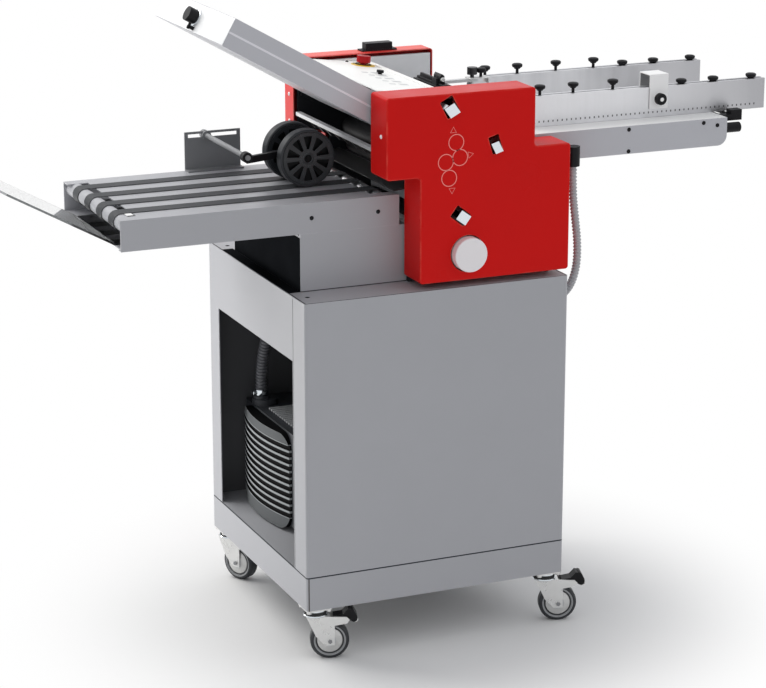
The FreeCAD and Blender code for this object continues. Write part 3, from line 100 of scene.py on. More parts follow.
# %% Draw a tube's line and read it back
def draw_line(name, points):
    """Smooth line through the space between fittings, with no thickness."""
    curve = bpy.data.curves.new(name, "CURVE")
    curve.dimensions = "3D"
    curve.resolution_u = 16
    spline = curve.splines.new("NURBS")
    spline.points.add(len(points) - 1)
    for point, place in zip(spline.points, points):
        point.co = (*place, 1.0)
    spline.order_u = 3
    spline.use_endpoint_u = True
    line_object = bpy.data.objects.new(name, curve)
    bpy.context.scene.collection.objects.link(line_object)
    bpy.context.view_layer.update()
    line_mesh = bpy.data.meshes.new_from_object(line_object)
    line = [vertex.co.copy() for vertex in line_mesh.vertices]
    bpy.data.meshes.remove(line_mesh)
    bpy.data.objects.remove(line_object)
    bpy.data.curves.remove(curve)
    return line


def line_length(line):
    return sum((b - a).length for a, b in zip(line, line[1:]))


def evenly(line, step):
    """Points along a line, about one step apart."""
    total = line_length(line)
    count = max(2, round(total / step))
    places = []
    travelled = 0.0
    index = 0
    for number in range(count + 1):
        target = total * number / count
        run = line[index + 1] - line[index]
        while index < len(line) - 2 and travelled + run.length < target:
            travelled += run.length
            index += 1
            run = line[index + 1] - line[index]
        places.append(line[index] + run * ((target - travelled) / run.length))
    return places


# %% [markdown]
# A corrugated tube is a row of rings, wide and narrow in turn, joined by faces. The ribs are
# real geometry, because they show against the pale floor.
# Each ring is turned as little as possible from the one before it, so the faces never twist.
# The same two helpers, one ring and one band of faces, serve every turned part further down.

# %% Sweep rings along a line
def add_ring(mesh, centre, across, side, radius, sides):
    """Ring of points in the plane of two directions; a ring without radius is one point."""
    if radius == 0:
        return [mesh.verts.new(centre)]
    angles = [2 * math.pi * step / sides for step in range(sides)]
    return [mesh.verts.new(centre + (across * math.cos(angle) + side * math.sin(angle)) * radius)
            for angle in angles]


def join_rings(mesh, first, second, sides):
    """Faces between two rings. Where one is a single point, they are triangles."""
    for step in range(sides):
        nxt = (step + 1) % sides
        corners = [first[step % len(first)], first[nxt % len(first)],
                   second[nxt % len(second)], second[step % len(second)]]
        corners = list(dict.fromkeys(corners))
        if len(corners) > 2:
            mesh.faces.new(corners)


def finish_mesh(name, mesh, sharp_over=35.0):
    """Turn a bmesh into an object, smooth except where faces meet sharply."""
    bmesh.ops.recalc_face_normals(mesh, faces=mesh.faces)
    data = bpy.data.meshes.new(name)
    mesh.to_mesh(data)
    mesh.free()
    piece = bpy.data.objects.new(name, data)
    bpy.context.scene.collection.objects.link(piece)
    data.shade_smooth()
    data.set_sharp_from_angle(angle=math.radians(sharp_over))
    return piece


def sweep_rings(name, places, radii, sides):
    """Closed mesh tube through the places, with one radius for each place."""
    mesh = bmesh.new()
    across = (places[1] - places[0]).normalized().orthogonal().normalized()
    rings = []
    for number, (place, radius) in enumerate(zip(places, radii)):
        before = places[max(number - 1, 0)]
        after = places[min(number + 1, len(places) - 1)]
        along = (after - before).normalized()
        across = (across - along * across.dot(along)).normalized()
        rings.append(add_ring(mesh, place, across, along.cross(across), radius, sides))
    for first, second in zip(rings, rings[1:]):
        join_rings(mesh, first, second, sides)
    mesh.faces.new(rings[0][::-1])
    mesh.faces.new(rings[-1])
    return finish_mesh(name, mesh)


def corrugated(name, route, radius, pitch, depth, sides):
    """Ribbed tube along a route of drawing points, with its line and that line's length."""
    line = draw_line(name + "_line", [at(*point) for point in route])
    rib = (0.0, 0.0, depth, depth)
    places = evenly(line, millimetres(pitch / len(rib)))
    radii = [millimetres(radius - rib[number % len(rib)]) for number in range(len(places))]
    piece = sweep_rings(name, places, radii, sides)
    print(name, "length", round(line_length(line), 4), "rings", len(places))
    return piece, places, line_length(line)


# %% [markdown]
# The conduit leaves an elbow beside the red cover, hangs in a shallow bow and ends in an elbow on
# the cabinet's right side. The hose stands on the pump's port and goes up through the cabinet's
# top. Their points are those of the drawing.

# %% Make the conduit and the pump hose
conduit_route = [
    (292.0, -232.0, 916.0),
    (292.0, -232.0, 868.0),
    (299.0, -231.0, 816.0),
    (307.0, -229.0, 764.0),
    (310.0, -222.0, 716.0),
    (307.0, -206.0, 674.0),
    (301.0, -172.0, 641.0),
    (296.0, -130.0, 628.0),
    (296.0, -90.0, 628.0),
]
conduit, conduit_line, conduit_length = corrugated(
    "ribbed_conduit", conduit_route, radius=8.0, pitch=7.0, depth=1.6, sides=20)
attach(conduit, "stand")
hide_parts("conduit")

hose_route = [
    (-188.0, 192.0, 398.0),
    (-188.0, 192.0, 442.0),
    (-186.0, 184.0, 488.0),
    (-181.0, 170.0, 534.0),
    (-173.0, 154.0, 580.0),
    (-166.0, 142.0, 622.0),
    (-162.0, 136.0, 665.0),
    (-162.0, 136.0, 707.0),
]
hose, hose_line, hose_length = corrugated(
    "ribbed_hose", hose_route, radius=12.0, pitch=7.0, depth=1.9, sides=24)
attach(hose, "stand")
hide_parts("pump_hose")

# %% [markdown]
# ## Effects that the finishes share
# Paint, metal and plastic look real through small differences: a fine grain, patches that are
# slightly lighter, and edges that catch the light. Each effect is a node group, built once.
# A group gives out only values that change over the surface. The shader stays in the material.
# A node takes a number or another node's output on each input, so one helper makes any node.

# %% Helpers for nodes and node groups
def add_node(tree, kind, inputs=None, **settings):
    """Node with its settings; each input gets a value or another node's output."""
    node = tree.nodes.new(kind)
    for label, setting in settings.items():
        setattr(node, label, setting)
    for label, value in (inputs or {}).items():
        if isinstance(value, bpy.types.NodeSocket):
            tree.links.new(value, node.inputs[label])
        else:
            node.inputs[label].default_value = value
    return node


def maths(tree, operation, *inputs, clamp=False):
    return add_node(tree, "ShaderNodeMath", dict(enumerate(inputs)), operation=operation,
                    use_clamp=clamp).outputs[0]


def vector_maths(tree, operation, *inputs, give=0):
    return add_node(tree, "ShaderNodeVectorMath", dict(enumerate(inputs)),
                    operation=operation).outputs[give]


def rescale(tree, value, low, high, to_low=0.0, to_high=1.0, **settings):
    """Map a value from one range to another, and hold it at the ends."""
    return add_node(tree, "ShaderNodeMapRange", {
        "Value": value, "From Min": low, "From Max": high,
        "To Min": to_low, "To Max": to_high}, **settings).outputs[0]


def object_place(tree):
    """Place of each point, in metres. It stays with the piece when the piece moves."""
    return add_node(tree, "ShaderNodeTexCoord").outputs["Object"]


def axis_parts(tree, vector):
    return add_node(tree, "ShaderNodeSeparateXYZ", {0: vector}).outputs


def start_group(name, inputs, outputs):
    """Node group whose inputs are numbers or vectors (name: default), with number outputs."""
    group = bpy.data.node_groups.new(name, "ShaderNodeTree")
    for label, default in inputs.items():
        kind = "NodeSocketFloat" if isinstance(default, float) else "NodeSocketVector"
        socket = group.interface.new_socket(label, in_out="INPUT", socket_type=kind)
        socket.default_value = default
    for label in outputs:
        group.interface.new_socket(label, in_out="OUTPUT", socket_type="NodeSocketFloat")
    way_in = group.nodes.new("NodeGroupInput").outputs
    way_out = group.nodes.new("NodeGroupOutput").inputs
    print("group", name, "gives", outputs)
    return group, way_in, way_out


# %% [markdown]
# **Fine grain** is the orange peel of sprayed powder and the texture of moulded plastic.
# Two noises do it: a fine one for height and a slow one for patches of tone.
# They are read in object space, so they stick to the piece when it moves.

# %% Build the fine grain group
grain_group, grain_in, grain_out = start_group(
    "fine_grain", {"Grain Size": 0.0008, "Patch Size": 0.12, "Stretch": (1.0, 1.0, 1.0)},
    ["Height", "Tone"])
grain_stretch = vector_maths(
    grain_group, "MULTIPLY", object_place(grain_group), grain_in["Stretch"])
for size, detail, result in (("Grain Size", 1.0, "Height"), ("Patch Size", 3.0, "Tone")):
    noise = add_node(grain_group, "ShaderNodeTexNoise", {
        "Vector": grain_stretch, "Detail": detail,
        "Scale": maths(grain_group, "DIVIDE", 1.0, grain_in[size])})
    grain_group.links.new(noise.outputs[0], grain_out[result])

# %% [markdown]
# ** Worn and sheen edges** are where hands and boxes have rubbed, and where a rounded edge catches
# the light: a paler colour is painted along them, partly wear and partly painted highlight. The
# Bevel node bends the normal near an edge, so comparing it with the true normal finds every edge
# without any extra mesh. A noise breaks the line up, because real wear is never an even stripe.

# %% Build the wear and sheen edge group
wear_and_sheen_group, wear_and_sheen_in, wear_and_sheen_out = start_group(
    "wear_and_sheen_edges", {"Reach": 0.0012, "Amount": 0.5}, ["Mask"])
edge_bevel = add_node(wear_and_sheen_group, "ShaderNodeBevel", {"Radius": wear_and_sheen_in["Reach"]}, samples=4)
true_normal = add_node(wear_and_sheen_group, "ShaderNodeNewGeometry").outputs["Normal"]
edge_bend = vector_maths(
    wear_and_sheen_group, "DOT_PRODUCT", edge_bevel.outputs[0], true_normal, give="Value")
edge_noise = add_node(wear_and_sheen_group, "ShaderNodeTexNoise", {
    "Scale": 45.0, "Detail": 4.0, "Vector": object_place(wear_and_sheen_group)})
wear_and_sheen_mask = maths(wear_and_sheen_group, "MULTIPLY",
                  rescale(wear_and_sheen_group, edge_bend, 0.995, 0.93),
                  rescale(wear_and_sheen_group, edge_noise.outputs[0], 0.42, 0.62, 0.25))
wear_and_sheen_group.links.new(maths(wear_and_sheen_group, "MULTIPLY", wear_and_sheen_mask, wear_and_sheen_in["Amount"]),
                     wear_and_sheen_out["Mask"])

# %% [markdown]
# **Ring zones** tell what lies beyond a radius from an axle. A castor wheel is one solid in CAD,
# but its grey centre, dark groove and black tyre are rings about the same axle.

# %% Build the ring zone group
ring_group, ring_in, ring_out = start_group(
    "ring_zones",
    {"Centre": (0.0, 0.0, 0.0), "Axle": (0.0, 1.0, 0.0), "Edge": 0.02, "Blur": 0.0006},
    ["Outside"])
ring_from = vector_maths(ring_group, "SUBTRACT", object_place(ring_group), ring_in["Centre"])
ring_radius = vector_maths(
    ring_group, "LENGTH", vector_maths(ring_group, "CROSS_PRODUCT", ring_from, ring_in["Axle"]),
    give="Value")
ring_past = maths(ring_group, "SUBTRACT", ring_radius, ring_in["Edge"])
ring_group.links.new(maths(ring_group, "DIVIDE", ring_past, ring_in["Blur"], clamp=True),
                     ring_out["Outside"])

# %% [markdown]
# **Box zones** tell what lies inside a box, in the same way. The nearest wall decides: a point is
# inside when it is short of the wall along all three axes.

# %% Build the box zone group
walls_group, walls_in, walls_out = start_group(
    "inside_walls", {"Centre": (0.0, 0.0, 0.0), "Half Size": (0.1, 0.1, 0.1)}, ["Inside"])
edge_sharpness = 4000.0
walls_from = vector_maths(walls_group, "SUBTRACT", object_place(walls_group), walls_in["Centre"])
walls_left = axis_parts(walls_group, vector_maths(
    walls_group, "SUBTRACT", walls_in["Half Size"],
    vector_maths(walls_group, "ABSOLUTE", walls_from)))
walls_least = maths(walls_group, "MINIMUM", walls_left[0], walls_left[1])
walls_least = maths(walls_group, "MINIMUM", walls_least, walls_left[2])
walls_group.links.new(maths(walls_group, "MULTIPLY", walls_least, edge_sharpness, clamp=True),
                      walls_out["Inside"])

# %% [markdown]
# ## Finishes
# Every finish starts the same way: a Principled shader whose plain numbers are typed into its own
# sockets, fed by the groups above. What changes from one finish to the next is the size of the
# grain, how far the tone wanders, and the paler colour along edges, for wear and as a painted
# highlight.

# %% A finish from the shared effects
relief_depth = 0.0004


def use_group(tree, group, inputs):
    return add_node(tree, "ShaderNodeGroup", inputs, node_tree=group).outputs


def blend_colours(tree, factor, *pair):
    """Mix of two colours; each is a colour or an output socket."""
    first, second = [colour if isinstance(colour, bpy.types.NodeSocket) else (*colour, 1.0)
                     for colour in pair]
    return add_node(tree, "ShaderNodeMix", {0: factor, 6: first, 7: second},
                    data_type="RGBA").outputs[2]


def make_finish(name, colour, roughness, metallic=0.0, grain=0.0008, bump=0.05, tone=0.06,
                patch=0.12, stretch=(1.0, 1.0, 1.0), wear_and_sheen_colour=None, wear_and_sheen_amount=0.0, reach=0.0012,
                specular=0.5, rough_spread=0.08):
    """Material with grain, patches of tone and paler edges of wear and painted highlight."""
    material = bpy.data.materials.new(name)
    material.use_nodes = True
    tree = material.node_tree
    shader = tree.nodes["Principled BSDF"].inputs
    shader["Metallic"].default_value = metallic
    shader["Specular IOR Level"].default_value = specular
    effect = use_group(tree, grain_group, {
        "Grain Size": grain, "Patch Size": patch, "Stretch": stretch})
    darker = [value * (1 - tone) for value in colour]
    lighter = [min(1.0, value * (1 + tone)) for value in colour]
    surface = blend_colours(tree, effect["Tone"], darker, lighter)
    if wear_and_sheen_colour:
        edges = use_group(tree, wear_and_sheen_group, {"Reach": reach, "Amount": wear_and_sheen_amount})
        surface = blend_colours(tree, edges["Mask"], surface, wear_and_sheen_colour)
    tree.links.new(surface, shader["Base Color"])
    tree.links.new(rescale(tree, effect["Tone"], 0.3, 0.7, roughness - rough_spread,
                           roughness + rough_spread), shader["Roughness"])
    relief = add_node(tree, "ShaderNodeBump", {
        "Strength": bump, "Distance": relief_depth, "Height": effect["Height"]})
    tree.links.new(relief.outputs[0], shader["Normal"])
    return material


def dress(finish, *names):
    """Give CAD solids a finish."""
    for name in names:
        nodes[name].data.materials.clear()
        nodes[name].data.materials.append(finish)
    print(finish.name, "on", len(names), "solids")


# %% [markdown]
# ** Powder paint.** The stand and the machine's body are sprayed in a cool grey, the covers in a
# strong red and the lid in white. Powder paint is satin, with a fine orange peel, and it wears
# to a paler line along folded edges. On the red covers that line is wide and strong, and partly a
# painted highlight along the rounded folds. What one paint shares with the next is kept in a
# style.

# %% Paint the sheet metal
powder = dict(grain=0.0009, bump=0.10, tone=0.035)
stand_powder = dict(powder, wear_and_sheen_colour=(0.58, 0.585, 0.61), wear_and_sheen_amount=0.55, specular=0.35)
plate_powder = dict(powder, wear_and_sheen_colour=(0.70, 0.705, 0.73), wear_and_sheen_amount=0.6, specular=0.4)
# The red's wide, strong pale edge line is partly wear and partly a painted highlight along the
# folds.
red_powder = dict(grain=0.0009, bump=0.12, tone=0.04, wear_and_sheen_amount=0.9, reach=0.003)
stand_colour = (0.415, 0.42, 0.445)

cabinet_grey = make_finish("cabinet_grey", stand_colour, 0.42, **stand_powder)
machine_grey = make_finish("machine_grey", (0.42, 0.425, 0.45), 0.40, **stand_powder)
plate_grey = make_finish("plate_grey", (0.52, 0.525, 0.56), 0.36, **plate_powder)
red_paint = make_finish("red_paint", (0.66, 0.0070, 0.0060), 0.33, wear_and_sheen_colour=(0.86, 0.14, 0.10),
                        specular=0.10, **red_powder)
white_paint = make_finish("white_paint", (0.97, 0.975, 0.96), 0.38, grain=0.0009, bump=0.08,
                          tone=0.02, wear_and_sheen_colour=(0.70, 0.70, 0.68), wear_and_sheen_amount=0.4, specular=0.35)
rear_red = make_finish("rear_red", (0.70, 0.012, 0.010), 0.4, wear_and_sheen_colour=(0.86, 0.20, 0.15),
                       specular=0.6, **red_powder)
dress(machine_grey, "delivery_frame", "lower_plate")
dress(plate_grey, "upper_plate")
dress(red_paint, "front_cover")
dress(white_paint, "top_cover")

# %% [markdown]
# **Metals.** Brushed aluminium and ground steel show fine lines in the direction in which they
# were worked, so their grain is stretched along it. Zinc plating is duller and cloudy.

# %% Give the metals their grain
along_y = (1.0, 0.03, 1.0)
upright = (1.0, 1.0, 0.03)
guide_alu = make_finish("guide_alu", (0.72, 0.72, 0.74), 0.40, metallic=1.0, grain=0.0006,
                        bump=0.10, tone=0.13, patch=0.02, stretch=upright,
                        wear_and_sheen_colour=(0.92, 0.92, 0.93), wear_and_sheen_amount=0.5)
bright_steel = make_finish("bright_steel", (0.62, 0.62, 0.63), 0.28, metallic=1.0,
                           grain=0.0005, bump=0.08, tone=0.06, stretch=along_y,
                           wear_and_sheen_colour=(0.85, 0.85, 0.86), wear_and_sheen_amount=0.5)
chrome_trim = make_finish("chrome_trim", (0.70, 0.74, 0.77), 0.12, metallic=1.0, grain=0.002,
                          bump=0.02, tone=0.03, rough_spread=0.03,
                          wear_and_sheen_colour=(0.95, 0.95, 0.95), wear_and_sheen_amount=0.4)
frame_steel = make_finish("frame_steel", (0.74, 0.75, 0.77), 0.40, metallic=0.55,
                          grain=0.0012, bump=0.04, tone=0.07, patch=0.03, rough_spread=0.04,
                          wear_and_sheen_colour=(0.88, 0.88, 0.89), wear_and_sheen_amount=0.5)
zinc = dict(grain=0.0012, bump=0.06, tone=0.06, patch=0.02)
fork_zinc = make_finish("fork_zinc", (0.74, 0.74, 0.73), 0.33, metallic=0.5,
                        wear_and_sheen_colour=(0.9, 0.9, 0.91), wear_and_sheen_amount=0.6, **zinc)
cover_zinc = make_finish("cover_zinc", (0.60, 0.60, 0.59), 0.36, metallic=0.4,
                         wear_and_sheen_colour=(0.95, 0.95, 0.95), wear_and_sheen_amount=0.9, **zinc)
knob_silver = make_finish("knob_silver", (0.86, 0.83, 0.845), 0.5, metallic=0.12,
                          grain=0.0006, bump=0.08, tone=0.04, wear_and_sheen_colour=(0.85, 0.84, 0.84), wear_and_sheen_amount=0.6)
cap_white = make_finish("cap_white", (0.96, 0.97, 0.98), 0.35, tone=0.02, bump=0.06)
dark_metal = make_finish("dark_metal", (0.235, 0.24, 0.25), 0.42, grain=0.0008, bump=0.10,
                         tone=0.12, wear_and_sheen_colour=(0.28, 0.28, 0.29), wear_and_sheen_amount=0.5)
dress(bright_steel, "upper_stop", "belt_roller", "suction_drum")
dress(fork_zinc, "castor_plates", "castor_fork_fl", "castor_fork_fr", "castor_fork_rl",
      "castor_fork_rr")
dress(chrome_trim, "gap_lever_1", "gap_lever_2", "gap_lever_3")
dress(knob_silver, "handwheel")
dress(dark_metal, "press_bracket")

# %% [markdown]
# **Plastics and rubbers.** Knobs are moulded black plastic with a leathery grain, the pump is a
# dark casting under a grey hood, and belts and tyres are matt rubber.

# %% Mould the plastics and rubbers
leathery = dict(grain=0.0007, bump=0.15, tone=0.15, wear_and_sheen_amount=0.6)
tube_skin = dict(grain=0.001, bump=0.1, tone=0.06)
black_plastic = make_finish("black_plastic", (0.008, 0.008, 0.0095), 0.42,
                            wear_and_sheen_colour=(0.06, 0.06, 0.065), specular=0.16, **leathery)
pump_dark = make_finish("pump_dark", (0.035, 0.038, 0.045), 0.5, grain=0.0014, bump=0.35,
                        tone=0.2, wear_and_sheen_colour=(0.12, 0.125, 0.13), wear_and_sheen_amount=0.6)
hose_grey = make_finish("hose_grey", (0.115, 0.118, 0.13), 0.42, wear_and_sheen_colour=(0.30, 0.30, 0.32),
                        wear_and_sheen_amount=0.5, **tube_skin)
conduit_grey = make_finish("conduit_grey", (0.40, 0.40, 0.42), 0.34, wear_and_sheen_colour=(0.66, 0.66, 0.68),
                           wear_and_sheen_amount=0.7, **tube_skin)
black_rubber = make_finish("black_rubber", (0.025, 0.025, 0.026), 0.7, grain=0.0008, bump=0.25,
                           tone=0.2, wear_and_sheen_colour=(0.07, 0.07, 0.07), wear_and_sheen_amount=0.5, specular=0.3)
belt_fabric = make_finish("belt_fabric", (0.05, 0.053, 0.058), 0.65, grain=0.0006, bump=0.3,
                          tone=0.12, stretch=(1.0, 0.35, 1.0), wear_and_sheen_colour=(0.12, 0.12, 0.12),
                          wear_and_sheen_amount=0.5, specular=0.3)
roller_rubber = make_finish("roller_rubber", (0.014, 0.014, 0.015), 0.55, grain=0.0006,
                            bump=0.2, tone=0.15, stretch=(1.0, 0.1, 1.0),
                            wear_and_sheen_colour=(0.09, 0.09, 0.095), wear_and_sheen_amount=0.4, specular=0.3)
red_plastic = make_finish("red_plastic", (0.40, 0.006, 0.010), 0.35, grain=0.001, bump=0.05,
                          tone=0.05, specular=0.15)
dress(black_plastic, "rear_box", "start_button", "stop_knob", "press_arm",
      "guide_screws_front", "guide_screws_rear", "end_knob", "end_rail", "conduit_fittings",
      "brake_pedal_fl", "brake_pedal_fr")
dress(pump_dark, "pump_body")
dress(black_rubber, "drive_belt")
dress(belt_fabric, "delivery_belts")
dress(roller_rubber, "fold_roller_1", "fold_roller_2", "fold_roller_3", "fold_roller_4",
      "gear_motor")
dress(red_plastic, "estop_button")
hose.data.materials.append(hose_grey)
conduit.data.materials.append(conduit_grey)

# %% [markdown]
# ## Two colours on one solid
# Some solids carry two or three colours. A mask tells one place from another, and the finish is
# blended into another colour there. The mask comes from a ring, a box or a distance.

# %% Repaint a finish where a mask says so
along_width = (0.0, 1.0, 0.0)
upward = (0.0, 0.0, 1.0)


def repaint(finish, mask, colour, flip=False, roughness=None):
    """Blend another colour, and roughness, in where the mask is 1, or with flip where it is 0."""
    tree = finish.node_tree
    shader = tree.nodes["Principled BSDF"].inputs
    pair = [shader["Base Color"].links[0].from_socket, colour]
    mixed = blend_colours(tree, mask, *(pair[::-1] if flip else pair))
    tree.links.new(mixed, shader["Base Color"])
    if roughness is not None:
        pair = [shader["Roughness"].links[0].from_socket, roughness]
        first, second = pair[::-1] if flip else pair
        rough = add_node(tree, "ShaderNodeMix", {0: mask, 2: first, 3: second})
        tree.links.new(rough.outputs[0], shader["Roughness"])


def paint_ring(finish, centre, axle, edge, colour, roughness=None, inside=False):
    """Another colour beyond one radius from an axle, or within it."""
    zone = use_group(finish.node_tree, ring_group, {"Centre": centre, "Axle": axle, "Edge": edge})
    repaint(finish, zone["Outside"], colour, inside, roughness)


def paint_inside(finish, low, high, colour, outside=False):
    """Another colour inside a box of the drawing, or outside it."""
    low, high = at(*low), at(*high)
    zone = use_group(finish.node_tree, walls_group, {
        "Centre": (low + high) / 2, "Half Size": (high - low) / 2})
    repaint(finish, zone["Inside"], colour, outside)


def fade_along(finish, start, stop, colour):
    """Blend a finish into another colour along X, from one place of the drawing to another."""
    tree = finish.node_tree
    across = axis_parts(tree, object_place(tree))["X"]
    repaint(finish, rescale(tree, across, at(start, 0, 0).x, at(stop, 0, 0).x), colour)


# %% [markdown]
# ** Wheels.** Each castor has a pale centre, a dark ring of painted shade in the groove beyond its
# cover, a light band and a black tyre. A press wheel is nearly black within, painted shade for the
# windows of its spoked plates, and a little lighter on its tyre. The cross bars are bright combs
# on a dark bar.

# %% Paint in rings
castor_turn = {"fl": -18.0, "fr": -18.0, "rl": -60.0, "rr": -60.0}
for corner, turn in castor_turn.items():
    low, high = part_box("castor_wheel_" + corner)
    angle = math.radians(turn)
    axle = (-math.sin(angle), math.cos(angle), 0.0)
    tyre = make_finish("castor_tyre_" + corner, (0.55, 0.56, 0.57), 0.4, grain=0.0008,
                       bump=0.1, tone=0.08, wear_and_sheen_colour=(0.4, 0.4, 0.4), wear_and_sheen_amount=0.3)
    # The dark ring just beyond the wheel cover's rim is painted shade in the groove.
    for edge, colour, roughness in ((0.0242, (0.018, 0.019, 0.022), None),
                                    (0.0272, (0.36, 0.37, 0.38), None),
                                    (0.0304, (0.014, 0.016, 0.02), 0.5)):
        paint_ring(tyre, (low + high) / 2, axle, edge, colour, roughness)
    dress(tyre, "castor_wheel_" + corner)

wheel_low, wheel_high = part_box("press_wheels")
wheel_axle = (wheel_low + wheel_high) / 2
# The disc is nearly black, darker than the spokes laid on it: painted shade in the deep windows.
press_finish = make_finish("press_wheel_black", (0.002, 0.0025, 0.003), 0.6, grain=0.0012,
                           bump=0.08, tone=0.15, specular=0.2)
paint_ring(press_finish, wheel_axle, along_width, 0.0505, (0.045, 0.048, 0.053), 0.35)
dress(press_finish, "press_wheels")

bar_axle = at(-97.0, 0.0, 969.0)
comb_finish = make_finish("comb_steel", (0.80, 0.80, 0.81), 0.3, metallic=0.4, grain=0.0005,
                          bump=0.08, tone=0.06, stretch=along_y)
paint_ring(comb_finish, bar_axle, along_width, 0.0085, (0.05, 0.05, 0.052))
dress(comb_finish, "cross_bars")

# %% [markdown]
# ** The pump's hood.** Its louvres are cut a few millimetres deep, and everything inside that
# depth is painted nearly black, as painted shade. On the outside, painted shade stripes stand over
# the louvres, with painted highlight lines on the ridges between them.

# %% Paint shade and highlights on the louvred hood
hood_finish = make_finish("pump_hood_grey", (0.12, 0.127, 0.132), 0.55, specular=0.08,
                          grain=0.0012, bump=0.15, tone=0.12, wear_and_sheen_colour=(0.45, 0.47, 0.48),
                          wear_and_sheen_amount=0.8, reach=0.0016)
hood_centre = at(168.6, 103.0, 0.0)
hood_round = 400.6
hood_skin = 0.9
louvre_shade = (0.002, 0.002, 0.0025)
ridge_highlight = (0.36, 0.38, 0.39)
slot_middle = 281.0
slot_pitch = 14.0
dark_half = 5.0
slots_each_way = 5


def paint_slat_shade_and_highlight(finish):
    """Painted shade and highlight stripes one slot pitch apart in height, as far as the slots go.
    """
    tree = finish.node_tree
    height = maths(tree, "SUBTRACT", axis_parts(tree, object_place(tree))["Z"],
                   millimetres(slot_middle))
    half_pitch = millimetres(slot_pitch / 2)
    slot_away = maths(tree, "ABSOLUTE", maths(tree, "WRAP", height, half_pitch, -half_pitch))
    dark = rescale(tree, slot_away, millimetres(dark_half), millimetres(dark_half - 0.4))
    reach = slots_each_way * slot_pitch + 6.5
    field = rescale(tree, maths(tree, "ABSOLUTE", height),
                    millimetres(reach), millimetres(reach - 0.5))
    repaint(finish, field, ridge_highlight)
    repaint(finish, maths(tree, "MULTIPLY", dark, field), louvre_shade)


# Painted shade inside the louvres' depth.
paint_ring(hood_finish, hood_centre, upward, millimetres(hood_round - hood_skin), louvre_shade,
           0.7, inside=True)
paint_slat_shade_and_highlight(hood_finish)
dress(hood_finish, "pump_hood")

# %% [markdown]
# ** Painted shade inside.** The inner faces of the stand and of the frames are painted nearly black,
# as painted shade, so the pump stands in a dark bay and the rollers between dark frames. Painted
# shade also darkens the seam under the cabinet, the gap under the top sheet, the pedestal's foot
# and the rims of the bolt holes. A seam on the cabinet's left side and the base's corner are dark
# seam lines. The guides carry painted shade that darkens them towards the end of the table, and
# the rear cover's top is a paler red, a painted sheen.

# %% Paint shade on the stand's inner faces, seams and gaps
gap_shade = (0.03, 0.032, 0.036)
bolt_half_x, bolt_half_y = 247.0, 216.0


def another_grey(name):
    return make_finish(name, stand_colour, 0.42, **stand_powder)


# Painted sheen: a paler red on the rear cover's top, where light grazes it.
paint_inside(rear_red, (-110.0, 220.0, 1077.8), (215.0, 263.5, 1080.0), (0.86, 0.09, 0.065))
dress(rear_red, "rear_cover")
# Painted shade: the guides darken towards the end of the table.
fade_along(guide_alu, 470.0, 770.0, (0.44, 0.44, 0.46))
dress(guide_alu, "front_guide", "rear_guide")
# Painted shade on the cabinet's inner faces and in its gap under the top sheet; the strip on its
# left side is a dark seam line.
for low, high, colour in (
        ((-269.2, -261.2, 100.0), (269.2, 261.2, 706.5), (0.007, 0.0078, 0.009)),
        ((-272.0, -203.4, 174.5), (-269.5, -201.0, 706.0), (0.14, 0.14, 0.145)),
        ((-269.3, -261.3, 706.8), (269.3, 261.3, 711.0), gap_shade)):
    paint_inside(cabinet_grey, low, high, colour)
dress(cabinet_grey, "cabinet_shell")
# Painted shade on the frames' inner faces, between the rollers.
paint_inside(frame_steel, (-300.0, -262.0, 700.0), (60.0, 262.0, 1056.0), (0.022, 0.024, 0.028))
dress(frame_steel, "front_frame", "rear_frame")

pedestal_finish = another_grey("pedestal_grey")
# Painted shade along the pedestal's foot, where it stands on the cabinet's top.
paint_inside(pedestal_finish, (-246.0, -179.0, 709.5), (-29.0, 179.0, 712.0), (0.05, 0.05, 0.055))
dress(pedestal_finish, "pedestal")
top_finish = another_grey("cabinet_top_grey")
# Painted shade on the top sheet's outer edge beside its gap, and in the rims of the bolt holes.
paint_inside(top_finish, (-266.6, -258.6, 704.0), (266.6, 258.6, 712.0), gap_shade, True)
for x in (-bolt_half_x, bolt_half_x):
    for y in (-bolt_half_y, bolt_half_y):
        paint_ring(top_finish, at(x, y, 0.0), upward, 0.0046, (0.02, 0.02, 0.022), inside=True)
dress(top_finish, "cabinet_top")
base_finish = another_grey("base_grey")
# Painted shade in the seam between base and cabinet; the base's front-left corner gets a dark seam
# line.
paint_inside(base_finish, (-272.0, -264.0, 171.2), (272.0, 264.0, 173.9), (0.03, 0.035, 0.045))
paint_inside(base_finish, (-268.0, -264.0, 104.0), (-265.4, -261.0, 171.3), (0.07, 0.065, 0.06))
dress(base_finish, "base_tray")

# %% [markdown]
# The same box test parts the feed table, whose sliding top is painted paler than its grey skirts
# as painted light from above, the separator, whose arm is zinc plated between black ends, and the
# white saddle, which is bare steel underneath.

# %% Two finishes on the feed table, the separator and the saddle
table_finish = make_finish("table_grey", (0.515, 0.52, 0.555), 0.38, **plate_powder)
